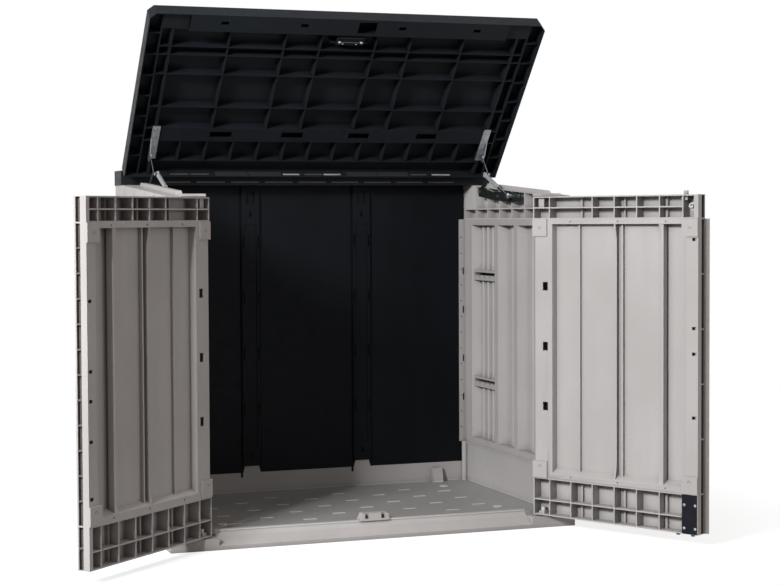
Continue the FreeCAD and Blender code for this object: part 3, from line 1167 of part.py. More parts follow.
def door_bottom_rail(with_plate):
    """Bottom rail with the lower pivot's boss; the right-hand one takes the lock plate."""
    shelf = DOOR_BOTTOM + LOW_BAND_SHELF
    pitch = RIGHT_EDGE_PITCH if with_plate else LEFT_EDGE_PITCH
    rail = rail_with_cells(DOOR_BOTTOM, LOW_SEAM, shelf, COLUMNS, None, pitch)
    rail = join([rail, pivot_boss(DOOR_BOTTOM + 1, DOOR_BOTTOM + PIVOT_BOSS_HEIGHT)])
    holes = [pivot_hole(DOOR_BOTTOM - 1, DOOR_BOTTOM + PIVOT_BOSS_HEIGHT + 1)]
    if with_plate:
        rail = join([rail, meeting_strip(DOOR_BOTTOM, LOW_SEAM)])
        holes += [rod((x, PIVOT_Y, DOOR_BOTTOM - 1), (x, PIVOT_Y, DOOR_BOTTOM + RIB + 1),
                      BOTTOM_PEG_RADIUS - 2)
                  for x in bottom_peg_places()]
    return carve(rail, holes)


def door_panel(with_lip):
    """Middle of a door: hollow stiles, sunk field with flared ribs, slots and corner tabs."""
    panel = door_box(0, DOOR_WIDTH, DOOR_OUT, DOOR_IN, LOW_SEAM, TOP_SEAM)
    free_in = DOOR_WIDTH - FREE_STILE - EDGE_CHANNEL
    low, high = LOW_SEAM + STRIP_HEIGHT, TOP_SEAM - TOP_STRIP_HEIGHT
    floor = DOOR_IN - DOOR_FIELD_DEPTH
    edge = PIVOT_X + HINGE_EDGE
    field = [(edge - DOOR_STILE, DOOR_IN + 1), (edge - DOOR_STILE - SKIN, floor),
             (edge - free_in, floor), (edge - free_in, DOOR_IN + 1)]
    hollows = [prism(field, "z", low, high)]
    hollows.append(door_box(TALL_RIB_PLACE + 1, free_in, DOOR_IN - TROUGH_DEPTH, DOOR_IN + 1, low, high))
    first = HINGE_EDGE_SETBACK + SKIN
    for u0, u1 in ((first, DOOR_STILE - SKIN), (free_in + SKIN, DOOR_WIDTH - EDGE_CHANNEL - SKIN)):
        hollows.append(door_box(u0, u1, DOOR_OUT + SKIN, DOOR_IN - SKIN, LOW_SEAM - 1, TOP_SEAM + 1))
    hollows.append(door_box(DOOR_STILE, TALL_RIB_PLACE - SKIN, DOOR_OUT + SKIN, floor - RIB, LOW_SEAM - 1,
                            TOP_SEAM + 1))
    hollows.append(door_box(-1, HINGE_EDGE_SETBACK, DOOR_IN - DOOR_FIELD_DEPTH, DOOR_IN + 1,
                            LOW_SEAM + CORNER_TAB, TOP_SEAM - CORNER_TAB))
    pitch = RIGHT_EDGE_PITCH if with_lip else LEFT_EDGE_PITCH
    panel = carve(panel, hollows + door_grooves(LOW_SEAM, TOP_SEAM) + door_edge_cells(LOW_SEAM, TOP_SEAM,
                                                                                      pitch))
    added = field_relief(floor, free_in, low, high) + corner_tabs()
    if with_lip:
        added.append(meeting_strip(LOW_SEAM, TOP_SEAM))
    free_slots = RIGHT_FREE_SLOTS if with_lip else LEFT_FREE_SLOTS
    return carve(join([panel] + added), stile_slots(free_slots) + strip_dimples())


def corner_tabs():
    """Raised pads at the four corners of a door's panel."""
    tabs = []
    for u0, u1 in ((0, CORNER_TAB), (DOOR_WIDTH - CORNER_TAB, DOOR_WIDTH)):
        for z0, z1 in ((LOW_SEAM, LOW_SEAM + CORNER_TAB), (TOP_SEAM - CORNER_TAB, TOP_SEAM)):
            tabs.append(door_box(u0, u1, DOOR_IN - 1, DOOR_IN + CORNER_TAB_RISE, z0, z1))
    return tabs


def strip_dimples():
    """Small round dimples along the strips above and below the field."""
    edge = PIVOT_X + HINGE_EDGE
    dimples = []
    for z in (LOW_SEAM + STRIP_HEIGHT / 2, TOP_SEAM - TOP_STRIP_HEIGHT / 2):
        for share in STRIP_DIMPLE_SHARES:
            x = edge - share * DOOR_WIDTH
            dimples.append(rod((x, DOOR_IN - STRIP_DIMPLE_DEPTH, z), (x, DOOR_IN + 1, z),
                               STRIP_DIMPLE_RADIUS))
    return dimples


def field_relief(floor, free_in, low, high):
    """Raised shapes of the sunk field: four upright ribs, two with flared ends, and a sloped sill."""
    edge = PIVOT_X + HINGE_EDGE
    relief = []
    for place, width, rise in ((THIN_RIB_PLACE, THIN_RIB_WIDTH, THIN_RIB_RISE),
                               (FIN_PLACE, FIN_WIDTH, FIN_RISE),
                               (LOW_RIB_PLACE, LOW_RIB_WIDTH, LOW_RIB_RISE),
                               (TALL_RIB_PLACE, TALL_RIB_WIDTH, TALL_RIB_RISE)):
        relief.append(door_box(place, place + width, floor - 1, floor + rise, low - 1, high + 1))
    tall_end = TALL_RIB_PLACE + TALL_RIB_WIDTH
    for u0, u1, rise in ((FIN_PLACE, FIN_PLACE + FIN_WIDTH, FIN_RISE),
                         (tall_end - TALL_FLARE_WIDTH, tall_end, LOW_RIB_RISE)):
        for end, way in ((low, 1), (high, -1)):
            flare = [(floor - 1, end - way), (DOOR_IN - 1, end - way), (DOOR_IN - 1, end),
                     (floor + rise, end + way * RIB_FLARE), (floor - 1, end + way * RIB_FLARE)]
            relief.append(prism(flare, "x", edge - u1, edge - u0))
    for u0, u1, deep in ((DOOR_STILE, tall_end, floor), (tall_end - 1, free_in + 1,
                                                         DOOR_IN - TROUGH_DEPTH)):
        sill = [(deep - 1, low - 1), (DOOR_IN - 1, low - 1), (DOOR_IN - 1, low),
                (deep - 1, low + SILL_HEIGHT)]
        relief.append(prism(sill, "x", edge - u1, edge - u0))
    return relief


def stile_slots(free_slots):
    """Slots in the faces of both stiles: tall ones by the hinge, small ones by the free edge."""
    slots = []
    places = [(DOOR_STILE * HINGE_SLOT_SHARE, z, HINGE_SLOT_WIDTH,
               HINGE_SLOT_HEIGHT) for z in STILE_SLOT_HEIGHTS]
    places += [(DOOR_WIDTH - FREE_SLOT_INSET, z, FREE_SLOT_WIDTH, FREE_SLOT_HEIGHT) for z in free_slots]
    for u, z, width, height in places:
        slots.append(door_box(u - width / 2, u + width / 2, DOOR_IN - 2 * SKIN, DOOR_IN + 1,
                              z - height / 2, z + height / 2))
    return slots


def door_pivots():
    """Two white pivot pegs, pressed into the door, that turn in the base and in the lug."""
    low_head = DOOR_BOTTOM + PIVOT_BOSS_HEIGHT
    lower = join([rod((PIVOT_X, PIVOT_Y, DOOR_BOTTOM - PIVOT_DROP), (PIVOT_X, PIVOT_Y, low_head),
                      PIVOT_RADIUS),
                  rod((PIVOT_X, PIVOT_Y, low_head), (PIVOT_X, PIVOT_Y, low_head + PIVOT_HEAD_HEIGHT),
                      PIVOT_HEAD_RADIUS)])
    shelf = (TOP_SEAM + DOOR_TOP) / 2
    upper = rod((PIVOT_X, PIVOT_Y, shelf), (PIVOT_X, PIVOT_Y, LUG_TOP - 1), PIVOT_RADIUS)
    return Part.makeCompound([lower, upper])


def bottom_peg_places():
    edge = PIVOT_X + HINGE_EDGE
    return [edge - (DOOR_WIDTH - EDGE_CHANNEL - inset) for inset in BOTTOM_PEG_INSETS]


def bottom_pegs():
    """Two studs under the right door's free end."""
    pegs = []
    for x in bottom_peg_places():
        pegs.append(join([rod((x, PIVOT_Y, DOOR_BOTTOM - BOTTOM_PEG_DROP), (x, PIVOT_Y, DOOR_BOTTOM),
                              BOTTOM_PEG_RADIUS),
                          rod((x, PIVOT_Y, DOOR_BOTTOM), (x, PIVOT_Y, DOOR_BOTTOM + RIB),
                              BOTTOM_PEG_RADIUS - 2)]))
    return Part.makeCompound(pegs)


def top_peg():
    """Peg on the right door's top that enters the lid's latch hole."""
    x = PIVOT_X + HINGE_EDGE - (DOOR_WIDTH - TOP_PEG_FROM_FREE)
    return join([rod((x, PIVOT_Y, DOOR_TOP), (x, PIVOT_Y, DOOR_TOP + TOP_PEG_RISE), TOP_PEG_RADIUS),
                 rod((x, PIVOT_Y, DOOR_TOP - 12), (x, PIVOT_Y, DOOR_TOP), TOP_PEG_RADIUS - 2)])


def lock_plate_edges():
    low, high = DOOR_BOTTOM + RIB / 2, LOW_SEAM - RIB / 2
    return DOOR_WIDTH - TOP_PEG_FROM_FREE, DOOR_WIDTH - RIB / 2, low, high


def lock_rivet_places():
    u0, u1, z0, z1 = lock_plate_edges()
    return [(u0 + across * (u1 - u0), z1 - down * (z1 - z0))
            for across in LOCK_RIVET_ACROSS for down in LOCK_RIVET_DOWN]


def lock_plate():
    """Black cover plate over the last cells of the right door's bottom rail."""
    u0, u1, z0, z1 = lock_plate_edges()
    plate = door_box(u0, u1, DOOR_IN, DOOR_IN + LOCK_PLATE, z0, z1)
    edge = PIVOT_X + HINGE_EDGE
    holes = [rod((edge - u, DOOR_IN - 1, z), (edge - u, DOOR_IN + LOCK_PLATE + 1, z), RIVET_RADIUS / 2)
             for u, z in lock_rivet_places()]
    return carve(plate, holes)


def lock_plate_rivets():
    edge = PIVOT_X + HINGE_EDGE
    rivets = []
    for u, z in lock_rivet_places():
        face = DOOR_IN + LOCK_PLATE
        sphere = Part.makeSphere(RIVET_RADIUS * 1.25, V(edge - u, face + RIVET_RISE - RIVET_RADIUS * 1.25,
                                                        z))
        dome = sphere.common(box(edge - u - 9, edge - u + 9, face, face + 9, z - 9, z + 9))
        rivets.append(join([dome, rod((edge - u, DOOR_IN, z), (edge - u, face + RIVET_RISE / 2, z),
                                      RIVET_RADIUS / 2)]))
    return Part.makeCompound(rivets)


def latch_place():
    """The latch's turning axis on the closed right door."""
    return PIVOT_X + HINGE_EDGE - (DOOR_WIDTH - LATCH_FROM_FREE), (TOP_SEAM + DOOR_TOP) / 2


def latch_handle():
    """Outer handle with the shaft that passes through the door's skin."""
    x, z = latch_place()
    half, reach, bevel = HANDLE_WIDTH / 2, HANDLE_LENGTH / 2, HANDLE_WIDTH / 3
    face = DOOR_OUT - SIDE_PLAY
    grip = [(x - half, z - reach + bevel), (x - half + bevel, z - reach), (x + half - bevel, z - reach),
            (x + half, z - reach + bevel), (x + half, z + reach - bevel), (x + half - bevel, z + reach),
            (x - half + bevel, z + reach), (x - half, z + reach - bevel)]
    shaft = rod((x, face - 1, z), (x, DOOR_OUT + LATCH_SHAFT_LENGTH, z), LATCH_SHAFT_RADIUS)
    return join([prism(grip, "y", face - HANDLE_PROUD, face), shaft])


def latch_hook():
    """White hook on the inner end of the shaft."""
    x, z = latch_place()
    y0, y1 = DOOR_OUT + LATCH_SHAFT_LENGTH, DOOR_OUT + LATCH_SHAFT_LENGTH + 7
    ring = rod((x, y0, z), (x, y1, z), 12.0).cut(rod((x, y0 - 1, z), (x, y1 + 1, z), 7.5))
    mouth = box(x, x + 16, y0 - 1, y1 + 1, z - 1, z - 16)
    hub = box(x - 2.5, x + 10, y0, y1, z - 2.5, z + 2.5)
    return join([ring.cut(mouth), hub])


def build():
    """Make every sub-part and write it."""
    save("floor_base", floor_base())
    save("door_catch", door_catch())
    save_pair("side_panel", side_panel())
    save_pair("side_rail", side_rail())
    save("back_panel_centre", back_panel(-UPRIGHT_IN, UPRIGHT_IN))
    save_pair("back_panel", back_panel(UPRIGHT_OUT, WALL_IN - SKIRT_BEAD - FIT))
    save_pair("back_upright", back_upright())
    save("hinge_beam", hinge_beam())
    save("hinge_rod", hinge_rod())
    save("lid_shell", lid_shell())
    save_pair("lid_bracket", lid_bracket())
    save_pair("lid_bracket_rivets", lid_bracket_rivets())
    save_pair("link_pin", link_pin())
    save("lid_latch_bracket", lid_latch_bracket())
    save("lid_latch_screws", lid_latch_screws())
    save("lid_latch_pin", lid_latch_pin())
    save("lid_latch_bar", lid_latch_bar())
    save_pair("stay_plate", stay_plate())
    save_pair("stay_plate_screws", stay_plate_screws())
    save_pair("stay_studs", stay_studs())
    save_pair("stay_lever", stay_lever())
    save_pair("lever_pin", lever_pin())
    save_pair("stay_link", stay_link())
    save_pair("strut_rod", strut_rod())
    save_pair("strut_tube", strut_tube())
    save_right_door("door_top_rail_right", door_top_rail(True))
    save_right_door("door_panel_right", door_panel(True))
    save_right_door("door_bottom_rail_right", door_bottom_rail(True))
    save_right_door("door_pivots_right", door_pivots())
    save_right_door("bottom_pegs", bottom_pegs())
    save_right_door("top_peg", top_peg())
    save_right_door("lock_plate", lock_plate())
    save_right_door("lock_plate_rivets", lock_plate_rivets())
    save_right_door("latch_handle", latch_handle())
    save_right_door("latch_hook", latch_hook())
    save_left_door("door_top_rail_left", door_top_rail(False))
    save_left_door("door_panel_left", door_panel(False))
    save_left_door("door_bottom_rail_left", door_bottom_rail(False))
    save_left_door("door_pivots_left", door_pivots())


build()
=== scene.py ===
"""Looks of the garden storage box: moulded resin, steel stays, soft studio light.

Metres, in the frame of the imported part: X right, Y back, Z up, the ground at zero.
"""
import json
import math

import bmesh
import bpy
from mathutils import Matrix, Vector

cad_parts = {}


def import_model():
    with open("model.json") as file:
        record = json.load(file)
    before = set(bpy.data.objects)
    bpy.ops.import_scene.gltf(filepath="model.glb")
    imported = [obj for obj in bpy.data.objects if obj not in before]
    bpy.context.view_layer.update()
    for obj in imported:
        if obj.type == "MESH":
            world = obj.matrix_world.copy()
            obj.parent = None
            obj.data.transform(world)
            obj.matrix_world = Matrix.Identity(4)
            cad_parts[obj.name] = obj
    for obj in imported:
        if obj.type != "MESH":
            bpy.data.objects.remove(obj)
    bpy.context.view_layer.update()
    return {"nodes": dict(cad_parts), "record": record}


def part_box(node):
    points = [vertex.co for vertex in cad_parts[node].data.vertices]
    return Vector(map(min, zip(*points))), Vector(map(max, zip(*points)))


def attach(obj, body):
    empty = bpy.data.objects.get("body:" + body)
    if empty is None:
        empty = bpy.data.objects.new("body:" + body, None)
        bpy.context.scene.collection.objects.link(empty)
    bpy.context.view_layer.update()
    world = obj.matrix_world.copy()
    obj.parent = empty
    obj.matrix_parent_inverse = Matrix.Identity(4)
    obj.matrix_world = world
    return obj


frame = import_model()
NODES = frame["nodes"]
SLOT_OF = {part["node"]: part["material_slot"] for part in frame["record"]["subparts"]}

# Camera, worked out from the photograph's edges, with its angles in degrees
PHOTO_WIDTH = 780
PHOTO_HEIGHT = 585
CAMERA_PLACE = (-1.7803, -5.1236, 0.9631)
CAMERA_YAW = 18.67
CAMERA_PITCH = -2.05
CAMERA_ROLL = -0.34
FOCAL_PIXELS = 1704
AXIS_PIXEL = (324.5, 278.6)
SENSOR = 36.0

# Lamps: where they stand, what they face, their size, watts and colour
KEY_PLACE = (-4.48, -3.59, 2.98)
KEY_TARGET = (0.0, -0.2, 0.6)
KEY_SIZE = (1.1, 1.1)
KEY_POWER = 415
KEY_COLOUR = (0.985, 1.0, 1.01)
FILL_PLACE = (4.5, -3.6, 1.6)
FILL_TARGET = (-0.76, -0.53, 0.5)
FILL_SIZE = (2.0, 2.0)
FILL_POWER = 50
FILL_COLOUR = (1.0, 0.90, 0.83)

# World: its strength at the horizon and overhead, and the height at which the second is reached
WORLD_LEVEL = 0.06
WORLD_TOP = 0.40
WORLD_RISE = 0.9
WORLD_COLOUR = (1.0, 0.955, 0.92, 1)

# Floor: half its width, the greys that bounce light and that are seen, its glow, where it fades to white
FLOOR_REACH = 60.0
FLOOR_BOUNCE = (0.16, 0.16, 0.16, 1)
FLOOR_SEEN = (0.5, 0.5, 0.5, 1)
FLOOR_GLOW = 0.72
FLOOR_FADE = (1.0, 1.5)

# Painted shade, darker where ambient occlusion finds corners and slots: how far it reaches, how it is
# sampled, how much cover it takes and how dark it is
PAINTED_SHADE_REACH = 0.030
PAINTED_SHADE_SAMPLES = 6
PAINTED_SHADE_COVER = (0.25, 0.85)
PAINTED_SHADE_DARKNESS = 0.55

# Resin's textures: each noise's scale per metre and its detail
MOTTLE = (4.0, 3.0)
FLOW = (22.0, 3.0)
FLOW_STRETCH = (1.0, 1.0, 0.06)
FLECK = (420.0, 2.0)
FLECK_SHARE = 0.45
FLECK_RANGE = (0.45, 0.75)
FLECK_SHADE = 0.93
SHEEN = (55.0, 4.0)
SHEEN_SPREAD = 0.06
WAVE = (9.0, 2.0)
WAVE_STRENGTH = 0.25
WAVE_HEIGHT = 0.0012
GRAIN = (900.0, 2.0)
GRAIN_HEIGHT = 0.0006

# Steel's textures, in the same way
CLOUD = (60.0, 4.0)
SPANGLE = (260.0, 3.0)
SPANGLE_SHARE = 0.5
POLISH = (140.0, 3.0)
POLISH_LESS = 0.07
POLISH_MORE = 0.09
BRUSH = (700.0, 2.0)
BRUSH_STRENGTH = 0.08
BRUSH_HEIGHT = 0.0004

# Resin and steel colours, as linear red, green and blue
TAUPE = (0.520, 0.496, 0.488)
TAUPE_DEEP = (0.464, 0.438, 0.428)
# Painted shade: a darker copy of the taupe for the right door's channel and meeting lip
TAUPE_LIP_SHADED = (0.290, 0.268, 0.252)
TAUPE_LIP_SHADED_DEEP = (0.245, 0.224, 0.210)
# Painted shade: still darker copies for the left door's channel and rib caps and for the ejector rings
TAUPE_SHADE = (0.165, 0.146, 0.134)
TAUPE_SHADE_DARKER = (0.115, 0.100, 0.091)
# Painted shade: a darker copy of the taupe for the side panels and the base's skirts
TAUPE_SIDE_SHADED = (0.420, 0.400, 0.394)
TAUPE_SIDE_SHADED_DEEP = (0.375, 0.354, 0.346)
# A darker, greyer colour for the base's floor, and a pale colour that paints a highlight on its treads' tops
FLOOR_DARKER = (0.335, 0.328, 0.318)
TREAD_HIGHLIGHT = (0.78, 0.77, 0.755)
HINGE_GREY = (0.066, 0.068, 0.074)
HINGE_GREY_SOFT = (0.050, 0.052, 0.057)
LEAF_GREY = (0.028, 0.030, 0.035)
LEAF_GREY_SOFT = (0.021, 0.023, 0.027)
BLACK = (0.0044, 0.0050, 0.0064)
BLACK_SOFT = (0.0066, 0.0075, 0.0095)
ANTHRACITE = (0.0092, 0.0114, 0.0142)
ANTHRACITE_SOFT = (0.0135, 0.0164, 0.0200)
GUNMETAL = (0.024, 0.031, 0.029)
GUNMETAL_SOFT = (0.040, 0.050, 0.047)
NAVY = (0.0095, 0.0105, 0.0150)
NAVY_SOFT = (0.0135, 0.0150, 0.0205)
ZINC = (0.46, 0.48, 0.50)
ZINC_SOFT = (0.34, 0.36, 0.38)
CHROME = (0.70, 0.71, 0.72)
CHROME_SOFT = (0.58, 0.59, 0.60)
WHITE = (0.74, 0.73, 0.70)
WHITE_SOFT = (0.66, 0.65, 0.62)

# Heights on the base where its darker floor, the painted highlight on the treads' tops and the skirts in the
# painted-shade side colour begin, and how their mottle darkens them
FLOOR_LEVELS = (
    (0.0440, 0.0455, FLOOR_DARKER),
    (0.0468, 0.0474, TREAD_HIGHLIGHT),
    (0.0490, 0.0500, TAUPE_SIDE_SHADED),
)
LEVEL_SHADE = 0.93

# Rounding of the mouldings' edges, with angles in degrees; the nodes named here keep sharp edges
WELD_GAP = 1e-5
FLAT_ANGLE = 1.0
EDGE_ANGLE = 35
EDGE_SEGMENTS = 2
EDGE_ROUND = {"resin": 0.0011, "black_resin": 0.0010, "lid_resin": 0.0012}
CRISP_NODES = ("floor_base", "door_catch")

# Places on the doors, and how far the doors stand open, in degrees
DOOR_PIVOT = (0.548, -0.348)
DOOR_EDGE = 0.572
DOOR_SPAN = 0.570
DOOR_OUTER = -0.368
DOOR_INNER = -0.328
DOOR_LOW = 0.038
LOW_SEAM = 0.155
TOP_SEAM = 0.954
DOOR_HIGH = 1.024
DOOR_OPEN = {"right": 120.0, "left": 139.0}

# The channel down each door's free edge, and the thin sheets of painted shade that line it, cap the left
# door's ribs and line the right door's meeting lip
CHANNEL_DEPTH = 0.010
CHANNEL_OUTER = 0.005
CHANNEL_INNER = 0.020
CHANNEL_RIB = 0.004
CHANNEL_PITCH = {"right": 0.155, "left": 0.064}
CHANNEL_SHADE_FINISH = {"right": "lip_resin", "left": "deep_resin"}
SHADE_LINER = 0.0008
RIB_SHADE_CAP = 0.0004
LIP_CLEAR = 0.0005
LIP_REACH = 0.012
LIP_SHADE_LINER = 0.0003

# Ring marks on the doors' corner tabs: places across and up the door, size, and their arc in degrees
TAB_RISE = 0.004
MARK_PLACES = ((0.026, 0.190), (0.026, 0.926), (0.544, 0.190), (0.544, 0.926))
MARK_RADIUS = 0.0046
MARK_TUBE = 0.0006
MARK_START = -40.0
MARK_TURN = 250.0
MARK_STEPS = 18

# The open lid: its hinge line, its slope, and the directions along it and out of its underside
LID_HINGE = Vector((0.0, 0.258, 1.111))
LID_OPEN = math.radians(50)
LID_ALONG = Vector((0.0, -math.cos(LID_OPEN), math.sin(LID_OPEN)))
LID_UNDER = Vector((0.0, -math.sin(LID_OPEN), -math.cos(LID_OPEN)))

# The rod and knobs on the lid's latch flap
LATCH_ROD_ALONG = 0.546
LATCH_FLAP_DOWN = 0.0335
LATCH_ROD_RADIUS = 0.0016
LATCH_KNOB_RADIUS = 0.0042
LATCH_KNOB_LENGTH = 0.010
KNOB_PROFILE = (0.4, 0.85, 1.0, 0.85, 0.4)
KNOB_SIDES = 10

# The hinge line: leaves and clips on the lid's rear wall, bars in the beam's front grooves; the clips and
# bars are painted glints, the pale clips brighter than the grey clips and bars
REAR_WALL = 0.015
LEAF_RISE = 0.0005
CLIP_RISE = 0.0009
HINGE_ROUND = 0.0002
LEAF_DOWN = (0.013, 0.034)
CLIP_DOWN = (0.0235, 0.0300)
LEAVES = ((-0.343, -0.234), (-0.231, -0.1215), (0.1095, 0.217), (0.220, 0.3267))
GLINT_CLIPS = ((-0.114, -0.058), (0.027, 0.086), (0.413, 0.479))
DIM_GLINT_CLIPS = ((-0.494, -0.433), (-0.426, -0.365), (-0.039, 0.0215), (0.335, 0.394))
BEAM_FRONT = 0.268
BAR_DEEP = (0.0002, 0.0015)
BAR_Z = (1.0788, 1.0832)
BAR_COUNT = 9
BAR_SPAN = 0.580
BAR_SHARE = 0.41


class Shader:
    """A material's node tree, with short calls to add and join nodes."""

    def __init__(self, name):
        self.material = bpy.data.materials.new(name)
        self.material.use_nodes = True
        self.tree = self.material.node_tree
        self.surface = self.tree.nodes["Principled BSDF"]

    def add(self, kind, **settings):
        """A new node with the given settings."""
        node = self.tree.nodes.new(kind)
        for key, value in settings.items():
            setattr(node, key, value)
        return node

    def join(self, source, target):
        """Link an output to an input."""
        self.tree.links.new(source, target)

    def object_place(self):
        """The place in the piece's own coordinates, so that the grain moves with the piece."""
        return self.add("ShaderNodeTexCoord").outputs["Object"]

    def stretched(self, scale):
        """The place on the piece, stretched by three factors."""
        node = self.add("ShaderNodeMapping")
        node.inputs["Scale"].default_value = scale
        self.join(self.object_place(), node.inputs["Vector"])
        return node.outputs["Vector"]

    def height(self):
        """The height above the ground, with the piece at rest."""
        split = self.add("ShaderNodeSeparateXYZ")
        self.join(self.object_place(), split.inputs["Vector"])
        return split.outputs["Z"]

    def noise(self, scale, detail, stretch=(1, 1, 1)):
        """Cloudy noise on the piece."""
        node = self.add("ShaderNodeTexNoise")
        node.inputs["Scale"].default_value = scale
        node.inputs["Detail"].default_value = detail
        self.join(self.stretched(stretch), node.inputs["Vector"])
        return node.outputs["Fac"]

    def ramp(self, source, low, high, start=0.35, end=0.65):
        """A value between low and high, as the source goes from start to end."""
        node = self.add("ShaderNodeMapRange")
        for key, value in (("From Min", start), ("From Max", end), ("To Min", low), ("To Max", high)):
            node.inputs[key].default_value = value
        self.join(source, node.inputs["Value"])
        return node.outputs["Result"]

    def blend(self, share, first, second):
        """A colour between two colours or sockets."""
        node = self.add("ShaderNodeMix", data_type="RGBA")
        self.join(share, node.inputs["Factor"])
        for value, socket in ((first, node.inputs["A"]), (second, node.inputs["B"])):
            if isinstance(value, tuple):
                socket.default_value = value + (1.0,)
            else:
                self.join(value, socket)
        return node.outputs["Result"]

    def painted_corner_shade(self):
        """How deep in a corner or slot a place lies, where the colour is darkened as painted shade."""
        node = self.add("ShaderNodeAmbientOcclusion", samples=PAINTED_SHADE_SAMPLES)
        node.inputs["Distance"].default_value = PAINTED_SHADE_REACH
        return self.ramp(node.outputs["AO"], 1.0, 0.0, *PAINTED_SHADE_COVER)

    def bump(self, height, strength, distance, below=None):
        """A normal roughened by a height, over the normal below it if there is one."""
        node = self.add("ShaderNodeBump")
        node.inputs["Strength"].default_value = strength
        node.inputs["Distance"].default_value = distance
        self.join(height, node.inputs["Height"])
        if below is not None:
            self.join(below, node.inputs["Normal"])
        return node.outputs["Normal"]


def darker(colour, share):
    """A colour with each of its parts lowered to a share."""
    return tuple(share * part for part in colour)


def moulded(name, colour, soft, roughness, grain=0.10, streaks=0.5, gloss=0.35, levels=()):
    """Moulded resin: mottled colour, faint flow streaks and a fine pebbled skin.

    levels are (from height, to height, colour) above which the piece wears another colour.
    """
    s = Shader(name)
    mottle = s.ramp(s.noise(*MOTTLE), 0.0, 1.0)
    flow = s.ramp(s.noise(*FLOW, FLOW_STRETCH), 0.0, streaks)
    fleck = s.ramp(s.noise(*FLECK), 0.0, FLECK_SHARE, *FLECK_RANGE)
    base = s.blend(mottle, colour, soft)
    base = s.blend(flow, base, soft)
    for start, end, level_colour in levels:
        above = s.ramp(s.height(), 0.0, 1.0, start, end)
        base = s.blend(above, base, s.blend(mottle, level_colour, darker(level_colour, LEVEL_SHADE)))
    base = s.blend(fleck, base, darker(soft, FLECK_SHADE))
    # Painted shade: the colour darkens in corners and slots
    base = s.blend(s.painted_corner_shade(), base, darker(soft, PAINTED_SHADE_DARKNESS))
    s.join(base, s.surface.inputs["Base Color"])
    sheen = s.ramp(s.noise(*SHEEN), roughness - SHEEN_SPREAD, roughness + SHEEN_SPREAD)
    s.join(sheen, s.surface.inputs["Roughness"])
    s.surface.inputs["Specular IOR Level"].default_value = gloss
    wave = s.bump(s.noise(*WAVE), WAVE_STRENGTH, WAVE_HEIGHT)
    s.join(s.bump(s.noise(*GRAIN), grain, GRAIN_HEIGHT, wave), s.surface.inputs["Normal"])
    return s.material


def metal(name, colour, soft, roughness, brush=(1, 1, 1), metallic=1.0, gloss=0.5):
    """Plated or painted steel with a soft cloudy finish; brush stretches its textures."""
    s = Shader(name)
    cloud = s.ramp(s.noise(*CLOUD, brush), 0.0, 1.0)
    spangle = s.ramp(s.noise(*SPANGLE, brush), 0.0, SPANGLE_SHARE)
    base = s.blend(cloud, colour, soft)
    base = s.blend(spangle, base, soft)
    s.join(base, s.surface.inputs["Base Color"])
    s.surface.inputs["Metallic"].default_value = metallic
    s.surface.inputs["Specular IOR Level"].default_value = gloss
    polish = s.ramp(s.noise(*POLISH, brush), roughness - POLISH_LESS, roughness + POLISH_MORE)
    s.join(polish, s.surface.inputs["Roughness"])
    s.join(s.bump(s.noise(*BRUSH, brush), BRUSH_STRENGTH, BRUSH_HEIGHT), s.surface.inputs["Normal"])
    return s.material


FINISH = {
    "resin": moulded("resin", TAUPE, TAUPE_DEEP, 0.52),
    "black_resin": moulded("black_resin", BLACK, BLACK_SOFT, 0.50, grain=0.06, gloss=0.07),
    "lid_resin": moulded("lid_resin", ANTHRACITE, ANTHRACITE_SOFT, 0.46, gloss=0.09),
    "dark_steel": metal("dark_steel", GUNMETAL, GUNMETAL_SOFT, 0.42, metallic=0.6),
    "zinc": metal("zinc", ZINC, ZINC_SOFT, 0.40),
    "bright_rod": metal("bright_rod", CHROME, CHROME_SOFT, 0.22, brush=(1, 1, 0.1)),
    "white_plastic": moulded("white_plastic", WHITE, WHITE_SOFT, 0.40),
    "coated_plate": metal("coated_plate", NAVY, NAVY_SOFT, 0.50, metallic=0.1, gloss=0.10),
    "pale_steel": metal("pale_steel", ZINC, ZINC_SOFT, 0.45, metallic=0.25),
    # Painted shade: a darker copy of the resin for the side panels
    "side_painted_shade_resin": moulded("side_painted_shade_resin", TAUPE_SIDE_SHADED, TAUPE_SIDE_SHADED_DEEP, 0.52),
    # The base: a darker floor, a painted highlight on the tread tops, and painted-shade skirts above given
    # heights
    "floor_resin": moulded("floor_resin", TAUPE, TAUPE_DEEP, 0.52, levels=FLOOR_LEVELS),
    "hinge_grey": metal("hinge_grey", HINGE_GREY, HINGE_GREY_SOFT, 0.50, metallic=0.1),
    "leaf_grey": metal("leaf_grey", LEAF_GREY, LEAF_GREY_SOFT, 0.50, metallic=0.1),
    # Painted shade: darker copies of the resin for the door channels, the meeting lip, the left rib caps and
    # the ejector rings
    "lip_resin": moulded("lip_resin", TAUPE_LIP_SHADED, TAUPE_LIP_SHADED_DEEP, 0.60),
    "deep_resin": moulded("deep_resin", TAUPE_SHADE, TAUPE_SHADE_DARKER, 0.60),
}
# Pieces whose finish differs from the rest of their slot
OWN_FINISH = {
    # Painted shade: the side panels take the darker side copy of the resin
    "side_panel_right": "side_painted_shade_resin",
    "side_panel_left": "side_painted_shade_resin",
    "floor_base": "floor_resin",
    "lock_plate": "coated_plate",
    "lock_plate_rivets": "pale_steel",
    "strut_tube_right": "pale_steel",
    "strut_tube_left": "pale_steel",
    "lid_latch_bracket": "coated_plate",
    "lid_latch_bar": "coated_plate",
    "lid_latch_screws": "bright_rod",
    "lid_latch_pin": "bright_rod",
}


